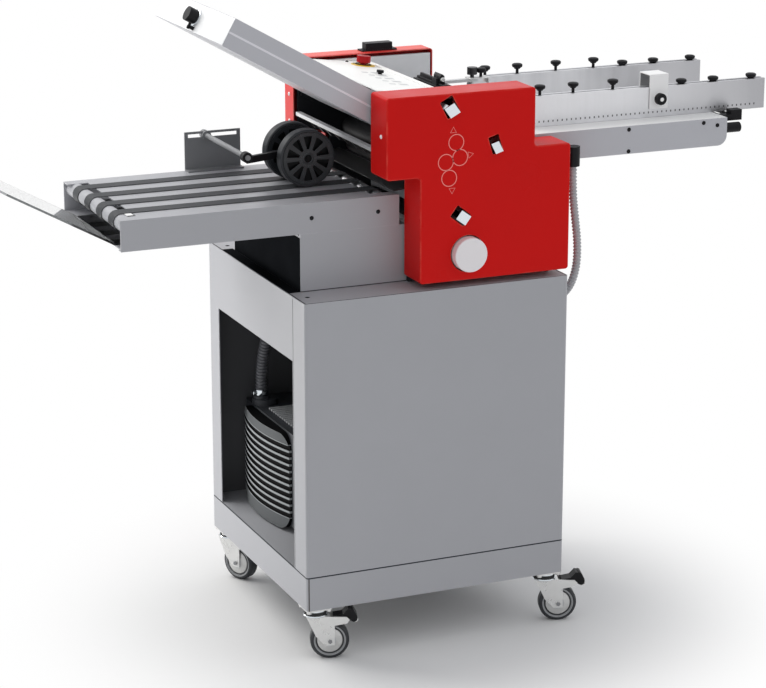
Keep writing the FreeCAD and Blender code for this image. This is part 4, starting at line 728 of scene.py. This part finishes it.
# Painted light: the table's top is paler than its skirts, where light falls on it from above.
paint_inside(table_finish, (150.0, -176.5, 970.3), (700.0, 176.5, 972.0), (0.88, 0.885, 0.88))
dress(table_finish, "feed_table")
separator_finish = make_finish("separator_black", (0.018, 0.018, 0.02), 0.38,
                               wear_and_sheen_colour=(0.09, 0.09, 0.095), **leathery)
paint_inside(separator_finish, (106.5, 40.0, 1030.0), (230.0, 70.0, 1043.0), (0.62, 0.63, 0.64))
dress(separator_finish, "separator")
saddle_finish = make_finish("saddle_white", (0.95, 0.95, 0.95), 0.36, grain=0.0009, bump=0.08,
                            tone=0.03, wear_and_sheen_colour=(0.7, 0.7, 0.7), wear_and_sheen_amount=0.5)
saddle_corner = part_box("saddle")[1]
saddle_right = (saddle_corner.x - stand_middle.x) * 1000
saddle_top = saddle_corner.z * 1000
saddle_skin = 1.9
paint_inside(saddle_finish, (515.0, -118.8, 980.0),
             (saddle_right + 1.0, -80.4, saddle_top - saddle_skin), (0.10, 0.10, 0.105))
dress(saddle_finish, "saddle")

# %% [markdown]
# ** Clear acrylic.** The catch tray is a bent sheet of clear plastic. It is glass-like, with a
# faint tint and fine scratches that scatter a little light. Its two long edges are dark grey.
# Without them the tray would vanish on a pale floor.

# %% Make the clear sheet
clear_sheet = bpy.data.materials.new("clear_sheet")
clear_sheet.use_nodes = True
clear_tree = clear_sheet.node_tree
clear_shader = clear_tree.nodes["Principled BSDF"].inputs
clear_shader["Transmission Weight"].default_value = 1.0
clear_shader["IOR"].default_value = 1.47
scratches = use_group(clear_tree, grain_group, {
    "Grain Size": 0.006, "Patch Size": 0.05, "Stretch": (0.3, 1.0, 1.0)})
clear_zone = use_group(clear_tree, walls_group, {
    "Centre": at(-700.0, -12.0, 950.0), "Half Size": (0.2, 0.1165, 0.25)})
clear_tint = blend_colours(
    clear_tree, scratches["Tone"], (0.92, 0.94, 0.95), (0.97, 0.98, 0.98))
clear_edge_grey = (0.16, 0.17, 0.175)
clear_tree.links.new(blend_colours(clear_tree, clear_zone["Inside"], clear_edge_grey, clear_tint),
                     clear_shader["Base Color"])
clear_tree.links.new(rescale(clear_tree, scratches["Height"], 0.4, 0.75, 0.02, 0.05),
                     clear_shader["Roughness"])
dress(clear_sheet, "catch_tray")

# %% [markdown]
# ## Small pieces
# CAD holds the main shapes. The small fasteners, rings, marks and caps are made here.
# Most of them are turned parts: an outline spun about a line, many of them alike.
# One helper makes any number of equal turned parts as one mesh.

# %% A helper for turned parts
front, back = (0.0, -1.0, 0.0), (0.0, 1.0, 0.0)
left, right = (-1.0, 0.0, 0.0), (1.0, 0.0, 0.0)


def settle(name, mesh, body, finish):
    """Make a piece of a mesh, and give it its finish and the body that it moves with."""
    piece = finish_mesh(name, mesh)
    piece.data.materials.append(finish)
    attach(piece, body)
    print(piece.name, "rides on", body)


def turned_parts(name, outline, spots, body, finish, sides=28):
    """Equal turned parts from (radius, height) pairs. A spot is a place and a direction."""
    mesh = bmesh.new()
    for place, direction in spots:
        up = Vector(direction).normalized()
        across = up.orthogonal().normalized()
        rings = [add_ring(mesh, place + up * millimetres(height), across, up.cross(across),
                          millimetres(radius), sides) for radius, height in outline]
        for first, second in zip(rings, rings[1:]):
            join_rings(mesh, first, second, sides)
    settle(name, mesh, body, finish)


# %% [markdown]
# Round-headed screws hold the feed table's skirt and the delivery's rail. Their heads are low
# black domes with a hexagon socket, here a short dark hollow in the middle of the dome.

# %% Screw heads on the rails
screw_dome = [(0, 0.9), (1.5, 0.9), (1.7, 2.0), (2.6, 1.9), (3.6, 1.2), (4.2, 0.0), (4.2, -0.4)]
turned_parts("delivery_screws", screw_dome, [
    (at(-222, -178, 850), front), (at(-88, -178, 850), front)], "stand", black_plastic)
turned_parts("table_screws", screw_dome, [
    (at(x, -178, z), front) for x, z in ((441, 964), (441, 921), (607, 964), (638, 957))],
    "stand", black_plastic)
turned_parts("table_screws_rear", screw_dome, [
    (at(x, 178, z), back) for x, z in (
        (441, 964), (441, 921), (607, 964), (-222, 850), (-88, 832))], "stand", black_plastic)
turned_parts("cover_side_screws", screw_dome, [
    (at(-105, -232, 1004), left), (at(-105, 232, 1004), left),
    (at(-105, 232, 950), left), (at(198, 232, 1004), right)], "stand", cap_white)

# %% [markdown]
# The other small parts are blocks: a box or a prism with its edges rounded.
# One helper makes each kind, and a matrix turns it where its carrier slopes.

# %% Helpers for blocks and prisms
def round_edges(mesh, corners, round_off):
    """Round all edges between some corners of a mesh."""
    if round_off:
        edges = list({edge for vertex in corners for edge in vertex.link_edges})
        bmesh.ops.bevel(mesh, geom=edges, offset=millimetres(round_off), segments=3,
                        affect="EDGES", profile=0.5)


def turned_place(turn, corner):
    return at(*(turn @ Vector(corner) if turn else corner))


def add_block(mesh, low, high, turn=None, round_off=0.0):
    """Box between two corners of the drawing, turned if a matrix is given, with round edges."""
    middle = (Vector(low) + Vector(high)) / 2
    size = Vector(high) - Vector(low)
    made = bmesh.ops.create_cube(mesh, size=1.0)["verts"]
    for vertex in made:
        vertex.co = turned_place(turn, vertex.co * size + middle)
    round_edges(mesh, made, round_off)


def add_prism(mesh, outline, y0, y1, turn=None, round_off=0.0):
    """Upright outline of (x, z) corners, drawn out along y."""
    near, far = [[mesh.verts.new(turned_place(turn, (x, y, z))) for x, z in outline]
                 for y in (y0, y1)]
    mesh.faces.new(near)
    mesh.faces.new(far[::-1])
    for index in range(len(near)):
        nxt = (index + 1) % len(near)
        mesh.faces.new((near[nxt], near[index], far[index], far[nxt]))
    round_edges(mesh, near + far, round_off)


def blocks(name, body, finish, rows, turn=None):
    """One piece of several blocks; a row is a low corner, a high corner and the rounding."""
    mesh = bmesh.new()
    for low, high, round_off in rows:
        add_block(mesh, low, high, turn, round_off)
    settle(name, mesh, body, finish)


# %% [markdown]
# The pedestal's left end is open, and nothing in it catches the light. A matt black sheet of
# painted shade closes the view into it, with the same painted shade in the slot above, and a
# painted shadow on the strip of the top before it, under the delivery.

# %% Painted shade in the pedestal's open end
painted_shade_black = make_finish("painted_shade_black", (0.012, 0.013, 0.015), 0.9, tone=0.3, patch=0.05,
                         bump=0.02, specular=0.0)
blocks("pedestal_painted_shade", "stand", painted_shade_black, [
    ((-245.6, -176.3, 710.3), (-245.05, 177.0, 813.2), 0.0),
    ((-244.8, -171.9, 817.1), (-244.2, 151.9, 820.9), 0.0),
    ((-267.6, -176.3, 710.02), (-245.6, 190.0, 710.25), 0.0)])

# %% [markdown]
# Each castor's head turns on a ball race: two bright rolled rings with a black seal between.
# Its wheel has a pale dished cover on each side and an axle bolt with a nut.
# They ride on the fork or on the wheel, so they swivel and roll with it.

# %% Castor races, axle bolts and wheel covers
low_race = [(21.05, 87.6), (22.8, 88.0), (23.3, 89.4), (22.8, 90.8), (21.05, 91.1)]
high_race = [(21.05, 98.2), (22.6, 98.5), (23.0, 99.8), (22.6, 101.2), (21.05, 101.5)]
race_seal = [(21.02, 91.2), (21.4, 91.5), (21.4, 97.9), (21.02, 98.1)]
bolt_outline = [(0, 3.2), (1.6, 3.2), (3.9, 3.0), (4.4, 2.4), (4.4, 0.0)]
cover_outline = [(12.1, 13.1), (13.2, 13.0), (16.0, 11.8), (22.4, 11.2), (24.1, 10.4), (24.3, 9.0)]
castor_x, castor_y = 244.0, 236.0
castor_trail = 27.0
axle_height = 37.5
fork_half = 0.0172
for corner, turn in castor_turn.items():
    middle_x = -castor_x if corner.endswith("l") else castor_x
    middle_y = -castor_y if corner.startswith("f") else castor_y
    angle = math.radians(turn)
    axle = Vector((-math.sin(angle), math.cos(angle), 0.0))
    wheel = at(middle_x + castor_trail * math.cos(angle),
               middle_y + castor_trail * math.sin(angle), axle_height)
    head = [(at(middle_x, middle_y, 0.0), upward)]
    for name, outline, finish in (("low_race_", low_race, chrome_trim),
                                  ("high_race_", high_race, chrome_trim),
                                  ("race_seal_", race_seal, black_rubber)):
        turned_parts(name + corner, outline, head, "castor_" + corner, finish, 40)
    turned_parts("axle_bolt_" + corner, bolt_outline, [
        (wheel + axle * fork_half, axle), (wheel - axle * fork_half, -axle)],
        "castor_" + corner, dark_metal, 6)
    turned_parts("wheel_cover_" + corner, cover_outline, [(wheel, axle), (wheel, -axle)],
                 "wheel_" + corner, cover_zinc, 40)

# %% [markdown]
# The front castors' brake pedals end in a black moulded shoe with a plated lip, where the foot
# presses.

# %% Shoes on the brake pedals
shoe_outline = [(67.5, 76.2), (74.0, 73.4), (80.6, 76.6), (79.7, 86.3), (72.5, 99.7),
                (67.5, 101.2)]
lip_outline = [(74.0, 73.0), (81.2, 76.4), (80.9, 81.0), (79.6, 81.0), (79.9, 77.3),
               (73.6, 74.2)]
for corner, middle_x in (("fl", -castor_x), ("fr", castor_x)):
    spot = Matrix.Translation((middle_x, -castor_y, 0.0)) @ Matrix.Rotation(
        math.radians(castor_turn[corner]), 4, "Z")
    for name, outline, half_width, round_off, finish in (
            ("pedal_shoe_", shoe_outline, 13.2, 0.8, black_plastic),
            ("pedal_lip_", lip_outline, 13.6, 0.4, fork_zinc)):
        pedal_mesh = bmesh.new()
        add_prism(pedal_mesh, outline, -half_width, half_width, spot, round_off)
        settle(name + corner, pedal_mesh, "pedal_" + corner, finish)

# %% [markdown]
# A press wheel is a moulded disc with ten wedge-shaped windows between its spokes, a ring round
# the hub and a soft tyre. The CAD wheel has shallow pockets, so a thin spoked plate is laid on
# each face. It is drawn as a polar grid whose cells are left out where a window is.

# %% Spoked plates on the press wheels
spoke_grey = make_finish("spoke_grey", (0.026, 0.029, 0.033), 0.36, grain=0.0009, bump=0.12,
                         tone=0.12, wear_and_sheen_colour=(0.12, 0.13, 0.14), wear_and_sheen_amount=0.7, specular=0.4)
window_count = 10
plate_radii = (10.0, 14.0, 18.0, 43.0, 46.5, 50.0)
window_from = 18.0
window_inner_half, window_outer_half = 0.13, 0.205
plate_thickness = 0.0012
wedge_steps = 3


def add_wedge(mesh, middle, radii, inner, outer, y, out):
    """Solid cell between two radii, with an inner and an outer pair of angles."""
    shares = [step / wedge_steps for step in range(wedge_steps + 1)]
    corners = [(radii[0], inner[0] + (inner[1] - inner[0]) * share) for share in shares]
    corners += [(radii[1], outer[0] + (outer[1] - outer[0]) * share) for share in shares[::-1]]
    low, high = [[mesh.verts.new((
        wheel_axle.x + millimetres(radius) * math.cos(middle + angle),
        at(0, y, 0).y + out * depth,
        wheel_axle.z + millimetres(radius) * math.sin(middle + angle)))
        for radius, angle in corners] for depth in (0.0, plate_thickness)]
    mesh.faces.new(high)
    for index in range(len(corners)):
        nxt = (index + 1) % len(corners)
        mesh.faces.new((low[index], low[nxt], high[nxt], high[index]))


def add_spoked_plate(mesh, y, out):
    """Thin plate on a wheel's face; out is the way that the face looks along y."""
    half = math.pi / window_count
    for window in range(window_count):
        middle = math.pi / 2 + window * 2 * half
        for radii in zip(plate_radii, plate_radii[1:]):
            has_window = radii[0] == window_from
            near, far = (window_inner_half, window_outer_half) if has_window else (0.0, 0.0)
            add_wedge(mesh, middle, radii, (-half, -near), (-half, -far), y, out)
            add_wedge(mesh, middle, radii, (near, half), (far, half), y, out)


spokes = bmesh.new()
for y, out in ((-58.0, -1), (-34.0, 1), (20.0, -1), (44.0, 1)):
    add_spoked_plate(spokes, y, out)
settle("press_spokes", spokes, "press_pair", spoke_grey)
turned_parts("press_hub_rings", [
    (7.6, 0.1), (7.6, 1.9), (8.3, 2.3), (10.4, 2.3), (11.2, 1.8), (11.2, 0.6)], [
    (at(-181.0, y, 935.8), way)
    for y, way in ((-58.0, front), (20.0, front), (-34.0, back), (44.0, back))],
    "press_pair", spoke_grey, 36)

# %% [markdown]
# The roller diagram on the red cover shows the operator how the four rollers lie. It is four
# thin rings and three small arrowheads in a pale line, and nothing else is on that cover.

# %% Line diagram of the rollers
cover_y = -258.15
line_pink = make_finish("line_pink", (1.0, 0.27, 0.24), 0.4, tone=0.05, bump=0.02)


def add_ribbon(mesh, corners, width):
    """Flat closed line on the cover's face through (x, z) corners."""
    count = len(corners)
    inner = []
    outer = []
    for index in range(count):
        here = Vector(corners[index])
        way = (Vector(corners[(index + 1) % count]) - Vector(corners[index - 1])).normalized()
        out = Vector((way.y, -way.x)) * width / 2
        inner.append(mesh.verts.new(at(here.x - out.x, cover_y, here.y - out.y)))
        outer.append(mesh.verts.new(at(here.x + out.x, cover_y, here.y + out.y)))
    for index in range(count):
        nxt = (index + 1) % count
        mesh.faces.new((inner[index], inner[nxt], outer[nxt], outer[index]))


roller_radius = 15.2
arrowhead = [(6.5, 0.0), (-4.0, 6.0), (-4.0, -6.0)]
diagram = bmesh.new()
for x, z in ((35, 987), (43, 958), (14, 951), (21, 920.5)):
    turns = [step * math.pi / 24 for step in range(48)]
    add_ribbon(diagram, [(x + roller_radius * math.cos(turn), z + roller_radius * math.sin(turn))
                         for turn in turns], 1.7)
for x, z, angle in ((29, 1010, 90), (64, 962, 10), (27, 897, -90)):
    turn = math.radians(angle)
    add_ribbon(diagram, [
        (x + a * math.cos(turn) - b * math.sin(turn), z + a * math.sin(turn) + b * math.cos(turn))
        for a, b in arrowhead], 1.5)
settle("roller_diagram", diagram, "stand", line_pink)

# %% [markdown]
# The front guide carries a centimetre scale: one short black tick for each centimetre.
# The ticks are thin plates on the guide's face, and they move with the guide.

# %% Scale on the front guide
tick_ink = make_finish("tick_ink", (0.02, 0.02, 0.022), 0.5, tone=0.1, bump=0.02)
tick_places = [246.0 + 10.0 * number for number in range(52)]
blocks("guide_scale", "guide_front", tick_ink, [
    ((x - 1.1, -118.12, 979.3), (x + 1.1, -118.0, 983.1), 0.0) for x in tick_places])

# %% [markdown]
# The thumb screws along both guides have moulded heads like small mushrooms, wide and low,
# with a rounded top for the finger and a shoulder underneath.

# %% Mushroom heads of the thumb screws
mushroom = [(3.1, -4.0), (5.4, -4.0), (6.4, -2.4), (9.4, 0.2), (10.6, 1.8), (10.9, 3.6),
            (10.4, 5.6), (8.0, 6.9), (4.0, 7.6), (0, 7.8)]
screw_line = (275.0, 347.0, 434.0, 520.0, 587.0, 659.0, 746.0)
tall_screws = 4
screw_foot, tall_rise, low_rise = 1031.3, 13.0, 3.0
for name, body, y, shift, skipped in (("front_heads", "guide_front", -107.0, 7.0, 3),
                                      ("rear_heads", "guide_rear", 125.0, 0.0, None)):
    turned_parts(name, mushroom, [
        (at(x + shift, y, screw_foot + (tall_rise if number < tall_screws else low_rise)), upward)
        for number, x in enumerate(screw_line) if number != skipped], body, black_plastic, 32)

# %% [markdown]
# Over the feed mouth the separator's drive is a run of black levers on its beam. At the end of
# its plated arm a small bracket carries a second thumb screw.

# %% Levers and bracket of the separator
levers = bmesh.new()
add_block(levers, (96.0, -66.0, 1050.5), (112.0, 60.0, 1056.5), None, 1.6)
add_prism(levers, [(97.0, 1055.0), (107.0, 1055.0), (106.0, 1072.0), (100.0, 1076.0),
                   (96.5, 1070.0)], -50.0, -18.0, None, 1.4)
add_prism(levers, [(97.0, 1055.0), (108.0, 1055.0), (105.0, 1063.0), (98.0, 1064.0)],
          -14.0, 48.0, None, 1.2)
add_block(levers, (104.0, -60.0, 1044.0), (122.0, -44.0, 1052.0), None, 1.4)
settle("separator_levers", levers, "stand", black_plastic)
turned_parts("lever_pins", [(0, 3.4), (3.6, 3.2), (4.4, 2.2), (4.4, 0.0)], [
    (at(101.5, -50.2, 1065.0), front), (at(112.0, -60.2, 1048.0), front)], "stand", fork_zinc)
blocks("separator_bracket", "stand", fork_zinc, [
    ((204.0, 44.0, 1042.1), (248.0, 68.0, 1044.1), 0.7),
    ((244.0, 44.0, 1032.0), (246.2, 68.0, 1044.0), 0.7)])
turned_parts("bracket_screw", [
    (3.0, 0.0), (3.0, 8.0), (6.0, 8.0), (9.0, 9.4), (10.4, 11.4), (10.4, 14.6), (9.0, 17.0),
    (4.0, 18.4), (0, 18.6)], [(at(233.0, 56.0, 1044.0), upward)], "stand", black_plastic)

# %% [markdown]
# The saddle on the front guide is clamped by a black knob with a pale cap in its middle.

# %% Saddle knob
turned_parts("saddle_knob", [
    (0, 13.4), (9.0, 13.4), (11.0, 12.6), (11.6, 11.0), (11.6, 3.0), (10.6, 2.0), (7.0, 2.0),
    (7.0, 0.1)], [(at(537, -120.6, 1008), front)], "saddle_body", black_plastic, 40)
turned_parts("saddle_knob_cap", [(0, 0.9), (3.2, 0.9), (4.0, 0.3), (4.0, 0)], [
    (at(537, -134.0, 1008), front)], "saddle_body", white_paint)

# %% [markdown]
# The lid has a yellow disc and a black collar round the stop button, two small lamps beside it,
# a few pale fields and two raised ribs along its right edge. The lid slopes, so its pieces stand
# on the lid's own normal.

# %% Pieces on the lid
lid_left, lid_top = -88.0, 1079.0
lid_fall = (lid_top - 1060.5) / 150.0
lid_up = Vector((lid_fall, 0.0, 1.0)).normalized()
lid_turn = Matrix.Translation((lid_left, 0.0, lid_top)) @ Matrix.Rotation(
    math.atan(lid_fall), 4, "Y")


def on_lid(x, y):
    return at(x, y, lid_top - (x - lid_left) * lid_fall)


yellow_plastic = make_finish("yellow_plastic", (0.75, 0.47, 0.02), 0.35, tone=0.05, bump=0.05)
label_grey = make_finish("label_grey", (0.66, 0.67, 0.68), 0.45, tone=0.05, bump=0.03)
stop_spot = [(on_lid(22, 155), lid_up)]
turned_parts("stop_disc", [(7.2, 0.05), (7.2, 1.3), (23.0, 1.3), (24.0, 0.8), (24.0, 0.05)],
             stop_spot, "lid", yellow_plastic, 48)
turned_parts("stop_collar", [(14.6, 1.35), (14.6, 3.0), (15.6, 3.0), (16.2, 2.4), (16.2, 1.35)],
             stop_spot, "lid", black_plastic, 48)
turned_parts("pilot_lamps", [(0, 2.6), (1.6, 2.3), (2.8, 1.3), (3.2, 0.0)], [
    (on_lid(2, 190), lid_up), (on_lid(6, 165), lid_up)], "lid", black_plastic)
blocks("lid_ribs", "lid", white_paint, [
    ((x, -168.0, 0.05), (x + 4.0, 196.0, 2.2), 0.9) for x in (136.0, 144.0)], lid_turn)
lid_fields = []
for number in range(5):
    y = -86.0 + 34.0 * number
    lid_fields += [((86.0, y, 0.05), (104.0, y + 12.0, 0.5), 0.2),
                   ((66.0, y + 2.0, 0.05), (78.0, y + 9.0, 0.5), 0.2)]
blocks("lid_bare_fields", "lid", label_grey, lid_fields, lid_turn)

# %% [markdown]
# The upper fold plate ends in a pale cap, and a pale strip of painted highlight lies in the crease
# along its side. Its stop knob has a bright collar, and beside the knob a small wing screw and a
# pin hold the stop where it was set.

# %% Cap, collar and wing screw at the fold plate's end
plate_slope = 29.57
plate_turn = Matrix.Translation((-377.1, 0.0, 1206.2)) @ Matrix.Rotation(
    math.radians(plate_slope), 4, "Y")
plate_out = (plate_turn.to_3x3() @ Vector(left)).normalized()
crease_highlight = make_finish("crease_highlight", (0.80, 0.79, 0.84), 0.4, tone=0.03, bump=0.04)
blocks("plate_end_cap", "fold_plate", cap_white, [
    ((-1.2, -174.0, -26.5), (-0.05, 201.0, 26.5), 0.4)], plate_turn)
blocks("plate_crease_highlights", "fold_plate", crease_highlight, [
    ((0.0, -175.5, -1.9), (386.0, -174.4, 1.9), 0.3),
    ((0.0, 202.05, -1.9), (386.0, 202.5, 1.9), 0.15)], plate_turn)
turned_parts("knob_collar", [
    (3.4, 0.1), (17.0, 0.1), (17.6, 0.8), (17.6, 2.2), (16.0, 3.0), (3.4, 3.0)],
    [(turned_place(plate_turn, (-1.2, 0.0, 0.0)), plate_out)], "fold_plate", chrome_trim, 40)
blocks("wing_screw", "fold_plate", black_plastic, [
    ((-9.0, -15.0, -24.0), (-1.3, -5.0, -17.0), 1.5),
    ((-14.0, -11.5, -25.5), (-8.5, -8.5, -13.0), 1.2),
    ((-6.0, 4.0, -22.5), (-1.3, 14.0, -18.5), 1.2)], plate_turn)

# %% [markdown]
# The air hose is held on the pump's port by a worm-drive band, and the pump's top is covered by a
# ribbed grey panel that cools it.

# %% Hose band and the pump's ribbed top
pump_top_grey = make_finish("pump_top_grey", (0.40, 0.41, 0.42), 0.5, tone=0.12, bump=0.2)
turned_parts("hose_band", [
    (12.05, 0), (13.6, 0.2), (14.0, 1.0), (14.0, 11.0), (13.6, 11.8), (12.05, 12.0)], [
    (at(-188, 192, 399), upward)], "stand", chrome_trim, 40)
blocks("band_screw", "stand", chrome_trim, [
    ((-208.0, 184.0, 401.5), (-200.5, 199.0, 409.0), 1.4)])
rib_places = [-40.0 + 12.0 * number for number in range(16)]
blocks("pump_cooling_ribs", "stand", pump_top_grey, [
    ((-190.0, y, 380.0), (20.0, y + 6.0, 384.5), 1.4) for y in rib_places])

# %% [markdown]
# ## Floor and light
# The machine stands on a plain pale floor. Near it the floor is a real surface that takes its
# shadow, and further out it fades into the white of the background. The white is seen but gives
# no light, so it is mixed in only for rays from the camera, from a mirror or through glass.
# The fade is round, and its centre lies a little to the right of the machine's middle.

# %% Lay the floor
floor_reach = 14.0
floor_mesh = bmesh.new()
bmesh.ops.create_grid(floor_mesh, x_segments=8, y_segments=8, size=floor_reach)
floor = finish_mesh("studio_floor", floor_mesh)


def seen_rays(tree):
    """1 for rays from the camera, from a mirror or through glass, and 0 for light."""
    path = tree.nodes.new("ShaderNodeLightPath").outputs
    direct = maths(tree, "ADD", path["Is Camera Ray"], path["Is Glossy Ray"])
    return maths(tree, "ADD", direct, path["Is Transmission Ray"], clamp=True)


floor_finish = bpy.data.materials.new("studio_floor")
floor_finish.use_nodes = True
floor_tree = floor_finish.node_tree
floor_tree.nodes.remove(floor_tree.nodes["Principled BSDF"])
floor_sheet = add_node(floor_tree, "ShaderNodeBsdfDiffuse", {"Color": (0.85, 0.85, 0.85, 1.0)})
floor_glow = add_node(floor_tree, "ShaderNodeEmission", {
    "Color": (1.0, 1.0, 1.0, 1.0), "Strength": 1.0})
fade_middle = (0.04, 0.0, 0.0)
floor_far = vector_maths(
    floor_tree, "LENGTH",
    vector_maths(floor_tree, "SUBTRACT", object_place(floor_tree), fade_middle), give="Value")
floor_fade = rescale(floor_tree, floor_far, 0.36, 0.84, interpolation_type="SMOOTHSTEP")
floor_mix = add_node(floor_tree, "ShaderNodeMixShader", {
    0: maths(floor_tree, "MULTIPLY", floor_fade, seen_rays(floor_tree)),
    1: floor_sheet.outputs[0], 2: floor_glow.outputs[0]})
floor_tree.links.new(floor_mix.outputs[0], floor_tree.nodes["Material Output"].inputs["Surface"])
floor.data.materials.append(floor_finish)
print("floor reaches", floor_reach, "m each way")

# %% [markdown]
# The light is plain, so each colour comes out about as it was written. The room itself is a
# pale, slightly cool world, weaker for lighting than it looks in a mirror, and weaker from the
# left than from the right.
# Two soft lamps model the shapes: a large one high behind the left side, so that tops and left
# sides are brighter than the front, and a small one low behind it, where the delivery keeps it
# off the red cover. Both lamps are a little warm against the cool room.

# %% Hang the lamps and light the room
world = bpy.data.worlds.new("studio_room")
bpy.context.scene.world = world
world.use_nodes = True
room = world.node_tree
room_light = room.nodes["Background"].inputs
room_light["Color"].default_value = (0.97, 0.98, 1.0, 1.0)
room_way = add_node(room, "ShaderNodeTexCoord").outputs["Generated"]
room_side = rescale(room, axis_parts(room, room_way)["X"], -1.0, 1.0, 0.46, 0.92)
room.links.new(rescale(room, seen_rays(room), 0.0, 1.0, room_side), room_light["Strength"])
lamp_warmth = (1.0, 0.985, 0.955)


def hang_lamp(name, place, aim, width, watts):
    """Square soft lamp that faces a point."""
    data = bpy.data.lights.new(name, "AREA")
    data.shape = "SQUARE"
    data.size = width
    data.energy = watts
    data.color = lamp_warmth
    lamp = bpy.data.objects.new(name, data)
    lamp.location = place
    lamp.visible_camera = False
    lamp.rotation_euler = (Vector(aim) - Vector(place)).to_track_quat("-Z", "Y").to_euler()
    bpy.context.scene.collection.objects.link(lamp)
    print(name, watts, "W")


hang_lamp("back_left_softbox", (-1.6, 1.9, 3.2), (0.0, 0.0, 0.7), width=2.4, watts=75.0)
hang_lamp("low_left_softbox", (-1.5, 1.1, 0.22), (-0.27, 0.0, 0.3), width=0.45, watts=10.0)

# %% [markdown]
# ## Finish
# The view settings stay plain, so colours come out as they were written.

# %% Plain view settings
bpy.context.scene.view_settings.view_transform = "Standard"
